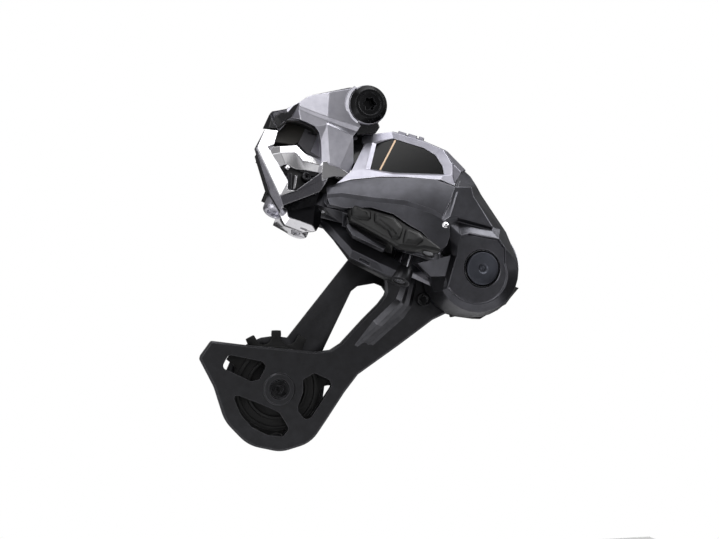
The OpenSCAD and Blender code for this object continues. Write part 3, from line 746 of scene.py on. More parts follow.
# Light pipe of the status light: a small clear green dot
LENS = Finish("acrylic moulded green", "2f7a45", "2a6e3e", 0.0, 0.15, 1.0, 0.002, Pattern.POLISHED, coat=1.0)
# Matt studio floor: pale, without a reflection
PAPER = Finish("paper matt white", "f0f0f0", "ececec", 0.0, 0.9, 1.0, 0.02)


def dressed(piece: bpy.types.Object, body: str, slot: str, finish: Finish, *nodes: str) -> bpy.types.Object:
    """Gives a piece its finish, its body and the nodes it stands for.

    Args:
        piece: Finished piece.
        body: Body it moves with.
        slot: Material slot in the record; not used.
        finish: Its finish.
        nodes: Frame nodes that it replaces.

    Returns:
        The piece.
    """
    piece.data.materials.clear()
    piece.data.materials.append(finish.material())
    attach(piece, body)
    if nodes:
        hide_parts(*nodes)
    log.info("%s: %d faces on %s", piece.name, len(piece.data.polygons), body)
    return piece


def kept(node: str, finish: Finish) -> None:
    """Leaves a frame node's shape and gives it a finish.

    Args:
        node: Name of the node.
        finish: Its finish.
    """
    target = frame["nodes"][node]
    target.data.materials.clear()
    target.data.materials.append(finish.material())
    log.info("%s: kept with %s", node, finish.name)


def refined(node: str, name: str, body: str, slot: str, finish: Finish,
            width: float = 0.2) -> bpy.types.Object:
    """Replaces a node with a copy whose edges are broken.

    Args:
        node: Node to replace.
        name: Name of the new piece.
        body: Body it moves with.
        slot: Material slot.
        finish: Its finish.
        width: Width of the broken edges in millimetres.

    Returns:
        The piece.
    """
    piece = softened(node, name, width)
    return dressed(piece, body, slot, finish, node)


# ---------------------------------------------------------------- sub-assemblies


@dataclass
class HangerBolt:
    """Fixing bolt, its ring and the stop plate at the frame hanger."""

    head_radius: float = 9.4
    head_front: float = 20.0
    head_back: float = 17.0
    face_radius: float = 6.4
    shank_radius: float = 6.0
    thread_radius: float = 5.0
    thread_end: float = -9.0
    thread_pitch: float = 1.0
    socket_radius: float = 3.0

    def bolt(self) -> bpy.types.Object:
        """Bolt with a dished head, a six-lobed socket and a cut thread.

        Returns:
            The piece.
        """
        profile = [(self.thread_radius - 0.9, self.thread_end),
                   (self.thread_radius - 0.1, self.thread_end + 0.9)]
        turns = int((-0.2 - self.thread_end - 1.6) / self.thread_pitch)
        for k in range(turns):
            low = self.thread_end + 1.2 + k * self.thread_pitch
            profile += [(self.thread_radius, low), (self.thread_radius - 0.55, low + self.thread_pitch / 2)]
        profile += [(self.thread_radius, -0.4), (self.thread_radius, 2), (self.shank_radius, 2),
                    (self.shank_radius, 16.6), (self.head_radius - 0.6, 16.6),
                    (self.head_radius, self.head_back), (self.head_radius, self.head_back + 0.5),
                    (self.face_radius + 1.2, self.head_front - 0.5),
                    (self.face_radius + 0.7, self.head_front), (self.face_radius - 0.7, self.head_front),
                    (self.face_radius - 1.0, self.head_front - 0.5), (4.0, self.head_front - 0.6)]
        piece = turned("bolt", profile)
        star = []
        for k in range(36):
            turn = 2 * math.pi * k / 36
            radius = self.socket_radius * (1 + 0.14 * math.cos(6 * turn))
            star.append((radius * math.cos(turn), radius * math.sin(turn)))
        socket = chamfered("socket", star, [(0.5, self.head_front - 5), (0, self.head_front - 4.4),
                                            (0, self.head_front + 1)])
        piece = placed(eased(cut(piece, socket), 0.12, 25), SIDE)
        return dressed(piece, "hanger_mount", "dark_gloss", BLACK_STEEL, "b_axle_bolt")

    def build(self) -> None:
        """Builds every piece of the hanger end."""
        self.bolt()
        refined("stopper_plate", "stop_plate", "hanger_mount", "dark_anodised", DARK_ANODISED, 0.3)
        kept("axle_snap_ring", STEEL)


@dataclass
class Bracket:
    """Upper knuckle: forged body, polished lower V, foot and gear case."""

    body: str = "b_knuckle"
    skin_back: float = 10.0
    boss_radius: float = 9.9
    boss_face: float = 17.0
    flange_radius: float = 11.4
    boss_bore: float = 7.0

    def forging(self) -> bpy.types.Object:
        """Top band, its undercut groove and the leg down to the link pivot.

        Returns:
            The piece.
        """
        corners = {"t0": (-4, 9.2, 13.4), "t1": (-18.7, 6.1, 13.2), "t2": (-27.2, 4.2, 13.0),
                   "t3": (-30.0, 3.2, 12.8), "t4": (-33.6, 0.6, 12.4), "t5": (-37.5, -7.2, 12.4),
                   "a0": (-34.5, -1.9, 15.9), "a1": (-20.3, -7.0, 17.0), "a2": (-4.0, -11.2, 16.4),
                   "g0": (-34.5, -3.6, 15.0), "g1": (-20.5, -8.8, 15.6), "g2": (-5.4, -13.4, 15.2),
                   "b1": (-20.8, -10.8, 17.4), "b2": (-7.4, -15.6, 15.8), "w2": (-33.6, -8.6, 15.4),
                   "w3": (-30.4, -9.9, 15.8), "w4": (-26.6, -11.6, 15.8), "w5": (-24.5, -14.4, 15.6),
                   "w6": (-23.7, -18.2, 15.4), "w7": (-23.2, -29.3, 15.4), "l1": (-19.6, -29.9, 18.4),
                   "m1": (-14.4, -31.6, 17.0), "m2": (-9.2, -34.1, 14.6), "r1": (-6.7, -28.6, 13.8)}
        faces = ["t0 t1 a1 a2", "t1 t2 t3 t4 a0 a1", "a0 a1 g1 g0", "a1 a2 g2 g1", "g0 g1 b1 w4 w3 w2",
                 "g1 g2 b2 b1", "t4 t5 w2 g0 a0", "b1 w4 w5 w6", "b1 w6 w7 l1", "b1 b2 m1 l1", "b2 r1 m2 m1"]
        skin = forged("skin", corners, faces, self.skin_back, SIDE, 1.0, 6, 4)
        boss = turned("boss", [(self.boss_radius - 0.4, 2.4), (self.boss_radius, 2.9),
                               (self.boss_radius, self.boss_face - 1.2),
                               (self.boss_radius - 0.5, self.boss_face - 0.5),
                               (self.boss_bore, self.boss_face - 0.4)])
        bore = turned("bore", [(self.boss_bore, -2), (self.boss_bore, 22)])
        boss = placed(eased(cut(boss, bore), 0.25, 20), SIDE)
        turns = [math.radians(t) for t in range(125, 241, 5)]
        outer = [(self.flange_radius * math.cos(t), self.flange_radius * math.sin(t)) for t in turns]
        inner = [(self.boss_radius * math.cos(t), self.boss_radius * math.sin(t)) for t in reversed(turns)]
        low = [(*p, 12.0) for p in outer + inner]
        rim = [(*p, 15.6) for p in outer] + [(*p, self.boss_face) for p in inner]
        flange = placed(eased(lofted("flange", [low, rim]), 0.2, 20), SIDE)
        core = softened("bracket_body", "core", 0.2, SIDE, 12.0)
        piece = joined("bracket_forging", skin, boss, flange, core)
        return dressed(piece, self.body, "forged_grey", BLASTED_GREY, "bracket_body")

    def corner(self) -> bpy.types.Object:
        """Dark end block at the band's outer end.

        Returns:
            The piece.
        """
        corners = {"c0": (-40.0, -2.8, 11.6), "c1": (-46.6, -4.4, 11.0), "c2": (-47.8, -5.4, 9.4),
                   "c3": (-51.0, -12.4, 9.2), "c4": (-48.6, -12.6, 11.4), "c5": (-44.4, -12.8, 12.0),
                   "c6": (-42.2, -9.6, 12.5), "c7": (-37.4, -6.8, 12.4), "c8": (-33.5, 0.5, 12.2),
                   "c9": (-44.8, -6.8, 12.2)}
        faces = ["c8 c0 c9 c6 c7", "c0 c1 c9", "c1 c4 c5 c6 c9", "c1 c2 c3 c4"]
        piece = forged("bracket_end_block", corners, faces, 7.0, SIDE, 0.3, 10)
        return dressed(piece, self.body, "dark_gloss", DARK_GLOSS, "bracket_corner")

    def lower_v(self) -> list[bpy.types.Object]:
        """Polished arm and collar of the V that carries the lower link, and its other arm painted darker as
        painted shade.

        Returns:
            Both pieces.
        """
        tip = {"q0": (-16.8, -27.8, 13.2), "qa": (-19.8, -37.3, 12.4), "qb": (-22.7, -33.2, 12.2),
               "q1": (-8.0, -11.9, 13.4), "c1": (-6.6, -16.5, 13.8), "q6": (-4.0, -13.6, 13.4)}
        bright = {"p0": (-40.9, -2.3, 10.6), "p1": (-35.0, -0.5, 12.2), "p2": (-34.3, -9.1, 12.8),
                  "p3": (-36.8, -11.7, 12.8), "p4": (-33.8, -14.6, 13.4), "p5": (-21.9, -24.8, 14.0),
                  "p6": (-20.7, -29.0, 13.6), "p8": (-41.2, -13.6, 11.2), "q2": (-9.4, -6.7, 14.0),
                  "q3": (-6.8, -4.9, 14.2), "q4": (5.5, -5.5, 12.4), "q5": (3.6, -8.4, 12.2),
                  "q7": (-1.4, -11.0, 13.0)}
        faces = ["p0 p1 p2 p3 p8", "p8 p3 p4 p5 qb", "p5 p6 q0 qb", "q1 q2 q3 q7 q6 c1", "q3 q4 q5 q7"]
        skin = forged("bracket_lower_v", bright | tip, faces, 8.2, PIVOTS, 0.35, 8)
        core = softened("bracket_frame", "bracket_v_back", 0.2, PIVOTS, 10.0)
        dressed(core, self.body, "dark_anodised", INSERT_BLACK)
        arm = dressed(skin, self.body, "polished", POLISHED, "bracket_frame")
        # The V's other arm, the same polished metal, painted mid grey as painted shade
        shaded_arm = {"q7": (-5.0, -20.1, 13.6), "q8": (-5.6, -22.6, 13.2), "p0": (-40.9, -2.3, 10.4),
                  "p8": (-41.2, -13.6, 11.2), "s0": (-41.9, -13.5, 9.6), "s1": (-34.6, -23.4, 9.6),
                  "s2": (-27.1, -33.3, 9.6), "s3": (-19.3, -39.7, 9.6)}
        faces = ["q0 q1 c1 qb", "qb c1 q7 q8 qa", "c1 q6 q7", "p0 p8 s0", "p8 qb s2 s1 s0", "qb qa s3 s2"]
        second = forged("bracket_shaded_arm", tip | shaded_arm, faces, 8.0, PIVOTS, 0.35, 8)
        return [arm, dressed(second, self.body, "dark_anodised", PAINTED_SHADE_GREY)]

    def foot(self) -> list[bpy.types.Object]:
        """Foot under the gear case: polished shell and a charcoal insert.

        Returns:
            Both pieces.
        """
        corners = {
            "f0": (-43.4, -53.1, 8.5), "f1": (-32.2, -47.4, 10.4), "f2": (-38.6, -51.5, 11.6),
            "f3": (-38.3, -56.4, 11.8), "f4": (-23.4, -44.2, 10.4), "f6": (-26.5, -59.5, 11.8),
            "f8": (-24.7, -62.4, 8.6), "fa": (-40.2, -59.6, 9.2), "fb": (-41.6, -57.4, 9.0),
            "fc": (-30.9, -63.0, 8.8)}
        faces = ["f0 f1 f2", "f0 f2 f3 fb", "fb f3 fa", "f1 f4 f6 f3 f2", "f3 f6 f8 fc fa"]
        skin = eased(facets("skin", corners, faces, 4.0), 0.35, 8)
        slot = chamfered("slot", [(-32.4, -60.4), (-29.0, -61.5), (-29.2, -62.3), (-32.6, -61.2)],
                         [(0, 8), (0, 14)])
        skin = placed(cut(skin, slot), SIDE)
        core = softened("bracket_foot", "core", 0.25, SIDE, 8.0)
        shell = dressed(joined("foot_shell", skin, core), self.body, "polished", POLISHED, "bracket_foot")
        corners = {
            "i1": (-39.8, -52.0, 12.8), "i2": (-23.6, -45.2, 12.8), "i3": (-26.2, -52.3, 13.6),
            "i4": (-27.1, -59.8, 13.4), "i5": (-39.0, -55.8, 13.0), "i6": (-21.7, -44.8, 10.4),
            "i7": (-22.6, -58.5, 10.4), "i8": (-24.8, -62.4, 10.4)}
        faces = ["i1 i2 i3", "i1 i3 i4 i5", "i2 i6 i3", "i3 i6 i7", "i3 i7 i8 i4"]
        insert = forged("foot_insert", corners, faces, 8.0, SIDE, 0.2, 4)
        return [shell, dressed(insert, self.body, "dark_anodised", INSERT_BLACK)]

    def stop_block(self) -> bpy.types.Object:
        """Small black block under the boss, where the end stop bears.

        Returns:
            The piece.
        """
        piece = chamfered("boss_stop_block", [(-6.4, -9.0), (5.6, -7.4), (6.8, -10.4), (4.6, -13.6),
                                              (-4.8, -14.8)], [(0, 6.0), (0, 13.4), (0.6, 14.0)])
        piece = placed(eased(piece, 0.3, 20), SIDE)
        return dressed(piece, self.body, "dark_gloss", DARK_GLOSS)

    def shadow_under_window(self) -> bpy.types.Object:
        """Black piece under the window's top edge, round the gear case: a painted shadow where that edge
        shades the window.

        Returns:
            The piece.
        """
        piece = chamfered("window_painted_shadow", [(-44.6, -12.4), (-40.4, -8.7), (-35.0, -8.8), (-30.4, -10.2),
                                           (-26.8, -11.9), (-24.9, -14.6), (-25.6, -15.0), (-27.6, -12.8),
                                           (-31.0, -11.2), (-35.2, -9.9), (-40.0, -9.8), (-43.6, -13.0)],
                          [(0, 2.0), (0, 13.8), (0.2, 14.2)])
        piece = placed(eased(piece, 0.15, 25), SIDE)
        # Painted shadow: black where the window's top edge casts shade on the core
        return dressed(piece, self.body, "black_plastic", BLACK_NYLON)

    def case_front(self) -> list[bpy.types.Object]:
        """Panels, bar and dark block seen through the bracket's window.

        Returns:
            The pieces.
        """
        left = facets("case_left_panel", {"a": (-36.6, 6.5, 8.9), "b": (-22.0, 9.4, 9.6),
                                          "c": (-23.1, 0.2, 9.6), "d": (-25.0, -2.6, 9.4),
                                          "e": (-35.4, -5.7, 8.9)}, ["a b c d e"], 8.3)
        left = dressed(placed(eased(left, 0.2, 10), PIVOTS), self.body, "black_plastic", CASE_FRONT)
        right = facets("case_right_panel", {
            "a": (-22.5, 9.6, 10.0), "b": (-15.4, 11.4, 9.6), "c": (-11.0, 6.0, 9.5), "d": (-8.4, -2.6, 9.4),
            "e": (-17.1, -3.9, 9.7), "f": (-23.2, -1.1, 10.0)}, ["a b c d e f"], 8.3)
        slot = chamfered("slot", rounded([(-20.9, 7.4, 0.5), (-17.0, 8.9, 0.5), (-16.5, 7.7, 0.5),
                                          (-20.4, 6.2, 0.5)]), [(0, 8.8), (0, 12)])
        right = cut(eased(right, 0.2, 10), slot)
        right = dressed(placed(right, PIVOTS), self.body, "black_plastic", CASE_SIDE)
        bar = facets("case_bright_bar", {"a": (-36.2, -10.1, 10.0), "b": (-30.9, -6.9, 10.2),
                                         "c": (-23.8, -2.6, 10.4), "d": (-18.4, -5.1, 10.8),
                                         "e": (-9.2, -4.3, 10.4), "f": (-7.1, -10.7, 9.8),
                                         "g": (-15.2, -13.0, 9.8), "h": (-19.7, -14.7, 9.8),
                                         "i": (-25.4, -14.6, 9.8), "j": (-27.3, -17.2, 9.4),
                                         "k": (-33.3, -13.0, 9.6), "l": (-29.7, -10.8, 11.2),
                                         "m": (-23.0, -7.2, 11.4), "n": (-18.2, -9.8, 11.4),
                                         "o": (-8.7, -7.3, 11.0)},
                     ["a b l k", "b c m l", "c d n m", "d e o n", "e f o", "o f g n", "n g h i m", "m i l",
                      "l i j k"], 8.6)
        bar = dressed(placed(eased(bar, 0.3, 10), PIVOTS), self.body, "polished", POLISHED, "servo_cover")
        block = facets("case_dark_block", {"a": (-36.3, -9.9, 9.4), "b": (-27.6, -4.5, 9.8),
                                           "c": (-24.6, -7.2, 10.0), "d": (-21.6, -9.8, 10.2),
                                           "e": (-9.0, -8.0, 9.4), "f": (-9.6, -14.0, 9.6),
                                           "g": (-17.0, -14.6, 9.4), "h": (-24.8, -13.6, 9.6),
                                           "i": (-28.1, -16.8, 9.0)}, ["a b c i", "c d h i", "d e f g h"],
                       8.3)
        block = dressed(placed(eased(block, 0.3, 10), PIVOTS), self.body, "dark_gloss", DARK_GLOSS)
        return [left, right, bar, block]

    def adjusters(self) -> list[bpy.types.Object]:
        """Ball-ended pin, its black rod and bright blade, and the limit screw.

        Returns:
            The pieces.
        """
        profile = [(0.2, 8.4), (0.9, 8.8), (1.25, 9.6), (1.35, 10.2), (1.1, 10.9), (0.6, 11.3), (0.1, 11.4)]
        ball = placed(eased(turned("ball_end", profile, (-24.0, -16.4), 32), 0.05, 40), PIVOTS)
        ball = dressed(ball, self.body, "polished", POLISHED)
        rod = chamfered("adjuster_rod", rounded([(-23.4, -18.0, 0.7), (-20.6, -17.6, 0.7),
                                                 (-17.8, -26.4, 0.7), (-20.6, -27.2, 0.7)]),
                        [(0, 8.2), (0, 9.4), (0.6, 10.2)])
        rod = dressed(placed(eased(rod, 0.15, 20), PIVOTS), self.body, "dark_gloss", DARK_GLOSS)
        blade = chamfered("adjuster_blade", [(-19.4, -17.8), (-18.0, -17.5), (-16.4, -25.0), (-17.8, -26.0)],
                          [(0, 8.2), (0, 9.2), (0.3, 9.8)])
        blade = dressed(placed(eased(blade, 0.1, 20), PIVOTS), self.body, "polished", POLISHED)
        screw = turned("limit_screw_head", [(2.4, 8.0), (2.4, 9.6), (2.2, 10.6), (1.6, 10.9), (1.4, 10.4),
                                            (0.9, 10.3)], (-13.7, -16.3), 40)
        socket = chamfered("socket", ring(0.9, (-13.7, -16.3), 6), [(0, 9.2), (0, 12)])
        screw = placed(eased(cut(screw, socket), 0.12, 25), PIVOTS)
        screw = dressed(screw, self.body, "dark_gloss", BLACK_STEEL, "limit_screw")
        return [ball, rod, blade, screw]

    def build(self) -> None:
        """Builds every piece of the bracket."""
        self.forging()
        self.corner()
        self.lower_v()
        self.foot()
        self.stop_block()
        self.shadow_under_window()
        self.case_front()
        self.adjusters()
        refined("servo_case", "gear_case", self.body, "black_plastic", BLACK_NYLON, 0.3)
        refined("output_barrel", "drive_barrel", self.body, "forged_grey", BLASTED_GREY, 0.3)
        refined("case_screws", "case_screw_heads", self.body, "steel", BLACK_STEEL, 0.15)
        refined("b_tension_screw", "stop_screw", "tension_screw", "steel", BLACK_STEEL, 0.15)
        refined("function_button", "mode_button", "button", "rubber", RUBBER, 0.3)
        kept("status_light", LENS)
        kept("b_bush", BRONZE)
        kept("gear_train", BRONZE)
        for node in ("servo_motor", "outer_pin_b", "inner_pin_b"):
            kept(node, STEEL)


@dataclass
class OuterLink:
    """Outer link: dark shell, bright frame with its dark plate, battery and door."""

    body: str = "outer_link"
    door: str = "battery_door"
    plate_height: float = 9.0

    def frame_ring(self) -> bpy.types.Object:
        """Bright faceted frame round the plate.

        Returns:
            The piece.
        """
        corners = {"o0": (9.8, -4.4, 10.6), "o1": (11.6, 13.0, 10.6), "o2": (9.7, 14.4, 10.0),
                   "o3": (8.8, 17.4, 9.4), "o4": (12.4, 19.6, 9.6), "o5": (15.3, 21.2, 9.8),
                   "o6": (22.4, 24.6, 9.8), "o7": (40.9, 23.4, 10.2), "o8": (50.0, 21.4, 10.2),
                   "o9": (56.0, 14.6, 10.6), "oA": (57.4, 8.4, 10.8), "w0": (17.0, 15.6, 9.4),
                   "w1": (24.2, 21.2, 9.4), "w2": (40.6, 20.3, 9.4), "w3": (46.6, 18.2, 9.4),
                   "w4": (51.7, 12.8, 9.4), "w5": (53.6, 8.4, 9.4), "w6": (29.5, 1.6, 9.6),
                   "w7": (18.2, 0.4, 9.6), "v0": (15.0, 15.0, 10.7), "v7": (16.0, -1.2, 10.9),
                   "t6": (22.4, 26.4, 7.6), "t7": (33.4, 26.9, 7.4), "t8": (51.0, 23.8, 7.2),
                   "e1": (63.4, 15.6, 6.6), "e2": (61.2, 12.2, 9.2), "e3": (60.2, 5.0, 9.6),
                   "s0": (4.6, -13.4, 10.2), "s1": (11.2, -9.6, 11.4), "s2": (24.0, -4.2, 12.0),
                   "s3": (35.5, -0.8, 12.2), "s4": (53.0, 3.4, 11.6), "s5": (60.4, 3.0, 10.2),
                   "x2": (30.0, -0.2, 11.0), "x3": (53.2, 6.2, 11.2)}
        faces = ["o0 o1 v0 v7", "v7 v0 w0 w7", "o1 o2 o3 o4 v0", "o4 o5 o6 w1 v0", "v0 w1 w0", "o6 o7 w2 w1",
                 "o7 o8 w3 w2", "o8 o9 w4 w3", "o9 oA w5 w4", "o6 t6 t7 o7", "o7 t7 t8 o8", "o8 t8 e1 e2 o9",
                 "o9 e2 e3 oA", "o0 v7 s1 s0", "v7 w7 w6 x2", "w6 w5 x3 x2", "w5 oA x3", "v7 x2 s2 s1",
                 "x2 x3 s4 s3 s2", "x3 oA e3 s5 s4"]
        skin = forged("skin", corners, faces, 6.2, LINK, 0.35, 8)
        core = softened("outer_link_frame", "core", 0.2, LINK, 6.6)
        piece = joined("link_bright_frame", skin, core)
        return dressed(piece, self.body, "polished", LINK_SILVER, "outer_link_frame")

    def top_marks(self) -> bpy.types.Object:
        """Dark grips let into the frame's top edge, and the dark end block.

        Returns:
            The piece.
        """
        grips = []
        for start, stop in ((25.4, 29.6), (30.6, 35.2), (36.2, 38.8)):
            grips.append(placed(eased(chamfered("grip", [(start, 24.9), (stop, 24.7), (stop, 26.9),
                                                         (start, 27.1)], [(0, 6.4), (0, 8.4), (0.3, 8.9)]),
                                      0.1, 20), LINK))
        block = facets("block", {"a": (50.6, 21.0, 10.3), "b": (51.6, 23.4, 7.6), "c": (63.2, 15.6, 7.2),
                                 "d": (61.4, 12.0, 9.8), "e": (60.2, 4.6, 10.2), "f": (58.2, 8.0, 10.9),
                                 "g": (56.8, 14.4, 10.9)}, ["a b c d g", "g d e f"], 6.4)
        block = placed(eased(block, 0.3, 10), LINK)
        piece = joined("link_end_block", block, *grips)
        return dressed(piece, self.body, "dark_anodised", BLOCK_GREY)

    def lug(self) -> bpy.types.Object:
        """Black block that fills the gap between the frame and the bracket.

        Returns:
            The piece.
        """
        piece = chamfered("link_lug", [(4.0, 2.0), (3.0, 14.5), (6.0, 19.5), (14.5, 21.5), (16.0, 2.0)],
                          [(0, 3.0), (0, 7.4), (0.6, 8.2)])
        piece = placed(eased(piece, 0.2, 20), LINK)
        return dressed(piece, self.body, "dark_gloss", DARK_GLOSS)

    def plate(self) -> list[bpy.types.Object]:
        """Glossy dark plate and the warm line let into it.

        Returns:
            Both pieces.
        """
        edge = rounded([(16.6, 15.4, 1.5), (24.0, 21.4, 2), (40.6, 20.5, 2), (46.8, 18.4, 2), (52.0, 12.8, 2),
                        (53.8, 8.2, 1), (29.5, 1.4, 2), (17.8, 0.2, 1.2)])
        piece = chamfered("link_dark_plate", edge, [(0, 7.2), (0, self.plate_height - 0.3),
                                                    (0.3, self.plate_height)])
        piece = placed(eased(piece, 0.15, 20), LINK)
        piece = dressed(piece, self.body, "dark_gloss", GLASS, "outer_link_plate")
        line = chamfered("plate_line", [(25.0, 20.9), (25.9, 20.9), (23.3, 1.5), (22.4, 1.5)],
                         [(0, self.plate_height - 0.4), (0, self.plate_height + 0.02),
                          (0.15, self.plate_height + 0.1)])
        line = dressed(placed(eased(line, 0.05, 20), LINK), self.body, "polished", CHAMPAGNE)
        return [piece, line]

    def shell(self) -> bpy.types.Object:
        """Dark curved shell with its undercut lower lip and round far end.

        Returns:
            The piece.
        """
        corners = {"b0": (1.2, -15.6, 9.6), "b1": (11.2, -10.0, 11.2), "b2": (24.2, -4.6, 11.9),
                   "b3": (35.5, -1.2, 12.1), "b4": (50.0, 2.8, 11.7), "b5": (60.6, 2.6, 10.1),
                   "m0": (1.0, -17.2, 10.6), "m1": (10.2, -14.6, 12.2), "m2": (23.9, -11.2, 13.2),
                   "m3": (38.0, -8.0, 13.6), "m4": (52.0, -6.2, 13.0), "m5": (60.6, -6.2, 10.8),
                   "d0": (2.4, -20.8, 11.0), "d1": (9.1, -18.8, 12.4), "d2": (23.6, -17.4, 13.4),
                   "d3": (40.1, -14.4, 13.8), "d4": (54.3, -14.7, 12.6), "d5": (59.0, -16.0, 11.2),
                   "k0": (2.8, -22.0, 9.8), "k1": (9.4, -20.0, 10.6), "k2": (23.8, -18.6, 11.2),
                   "k3": (40.3, -15.7, 11.4), "k4": (54.3, -16.0, 10.8), "k5": (59.3, -17.0, 9.8),
                   "l0": (4.8, -24.4, 8.6), "l1": (12.7, -24.6, 9.2), "l2": (24.5, -20.9, 9.8),
                   "l3": (36.1, -21.2, 9.8), "l4": (45.0, -24.6, 9.4), "l5": (51.4, -26.2, 9.2),
                   "l6": (62.2, -32.6, 7.6), "n1": (63.2, -18.2, 8.2), "n2": (64.8, -23.0, 7.0),
                   "n3": (64.8, -28.0, 6.4), "n4": (62.8, -33.4, 6.6)}
        faces = ["b0 b1 m1 m0", "b1 b2 m2 m1", "b2 b3 m3 m2", "b3 b4 m4 m3", "b4 b5 m5 m4", "m0 m1 d1 d0",
                 "m1 m2 d2 d1", "m2 m3 d3 d2", "m3 m4 d4 d3", "m4 m5 d5 d4", "d0 d1 k1 k0", "d1 d2 k2 k1",
                 "d2 d3 k3 k2", "d3 d4 k4 k3", "d4 d5 k5 k4", "k0 k1 l1 l0", "k1 k2 l2 l1", "k2 k3 l3 l2",
                 "k3 k4 l5 l4 l3", "k4 k5 n1 l5", "l5 n1 n2 n3 l6", "l6 n3 n4"]
        skin = forged("skin", corners, faces, 6.2, LINK, 0.5, 24, 3)
        core = softened("outer_link_body", "core", 0.25, LINK, 6.6)
        piece = joined("link_shell", skin, core)
        return dressed(piece, self.body, "dark_anodised", DARK_ANODISED, "outer_link_body")

    def barrel_plug(self) -> bpy.types.Object:
        """Bright plug in the end of the far pivot barrel.

        Returns:
            The piece.
        """
        profile = [(1.9, 6.0), (1.9, 8.3), (1.5, 8.9), (0.8, 9.2), (0.2, 9.3)]
        piece = placed(eased(turned("barrel_plug", profile, (61.2, -18.6), 32), 0.05, 40), LINK)
        return dressed(piece, self.body, "polished", POLISHED)

    def rubber_door(self) -> bpy.types.Object:
        """Rubber door with three raised pads and a smooth end.

        Returns:
            The piece.
        """
        base = chamfered("base", rounded([(14.0, -25.2, 2), (15.8, -20.6, 2), (19.0, -19.6), (24.5, -20.7),
                                          (36.1, -20.8), (45.0, -24.2), (51.0, -25.6), (54.6, -27.8),
                                          (62.4, -31.6, 1), (62.0, -33.4, 1), (54.8, -34.0), (51.4, -35.8, 2),
                                          (42.6, -36.8, 2), (37.2, -35.0), (23.0, -31.0), (16.6, -29.6, 2)]),
                         [(0, 5.4), (0, 7.8), (0.5, 8.5), (1.2, 8.9)])
        outlines = [
            [(15.4, -24.4, 2.4), (16.6, -21.4, 1.5), (25.2, -22.6, 1.2), (26.6, -27.4, 1.5), (20.0, -28.6, 2),
             (16.8, -28.0, 1.5)],
            [(26.6, -22.4, 1.2), (37.2, -22.4, 2), (42.6, -27.0, 2.5), (42.6, -33.6, 1.6), (38.6, -34.0, 1),
             (35.6, -30.4, 2), (28.0, -27.6, 1.5)],
            [(43.6, -26.6, 1.5), (50.6, -27.0, 2), (54.4, -29.8, 2), (51.0, -34.4, 2), (44.2, -35.4, 1.5)]]
        dome = [(0, 8.0), (0, 9.0), (0.5, 9.8), (1.4, 10.3), (2.4, 10.4)]
        pads = [chamfered("pad", rounded(points), dome) for points in outlines]
        skin = placed(eased(cut(base, *pads, keep="UNION"), 0.35, 25, 3), LINK)
        core = softened("battery_cover", "core", 0.25, LINK, 6.4)
        piece = joined("battery_door_rubber", skin, core)
        return dressed(piece, self.door, "rubber", RUBBER, "battery_cover")

    def build(self) -> None:
        """Builds every piece of the outer link."""
        self.frame_ring()
        self.top_marks()
        self.lug()
        self.plate()
        self.shell()
        self.barrel_plug()
        self.rubber_door()
        refined("battery_latch", "door_latch", "latch", "dark_anodised", DARK_ANODISED, 0.3)
        refined("battery", "battery_cell", self.body, "cell_grey", CELL, 0.6)
        kept("battery_contacts", GOLD)
        kept("outer_link_bushes", BUSH_DARK)


@dataclass
class InnerLink:
    """Lower link: forged plate with a pale lower bevel and a small slot."""

    body: str = "inner_link"

    def plate(self) -> bpy.types.Object:
        """Faceted plate.

        Returns:
            The piece.
        """
        corners = {"a": (4.0, -22.4, 3.4), "b": (12.0, -22.0, 4.2), "c": (19.7, -21.4, 4.6),
                   "d": (36.5, -29.3, 4.8), "e": (40.4, -32.1, 4.8), "f": (55.3, -35.6, 4.4),
                   "g": (59.0, -38.0, 3.4), "h": (57.9, -41.2, 3.8), "i": (30.4, -36.6, 5.4),
                   "j": (13.1, -24.6, 4.8), "k": (7.9, -23.9, 3.6), "l": (30.1, -39.8, 3.2),
                   "m": (49.2, -43.6, 3.2), "n": (55.6, -43.6, 3.0), "o": (9.6, -25.2, 2.6),
                   "p": (44.0, -39.2, 5.0)}
        faces = ["a b j k", "b c d i j", "d e p i", "e f h p", "f g h", "k j o", "j i l o", "i p m l",
                 "p h n m"]
        skin = eased(facets("lower_link", corners, faces, 1.4), 0.35, 8)
        slot = chamfered("slot", rounded([(35.0, -38.9, 0.5), (41.0, -40.4, 0.5), (40.8, -41.6, 0.5),
                                          (34.8, -40.1, 0.5)]), [(0, 2.6), (0, 8)])
        skin = placed(cut(skin, slot), INNER)
        core = softened("inner_link_plate", "lower_link_back", 0.3)
        dressed(core, self.body, "dark_anodised", CAGE_ANODISED)
        return dressed(skin, self.body, "dark_anodised", DARK_ANODISED, "inner_link_plate")

    def build(self) -> None:
        """Builds the lower link."""
        self.plate()
        kept("inner_link_bushes", BUSH_DARK)


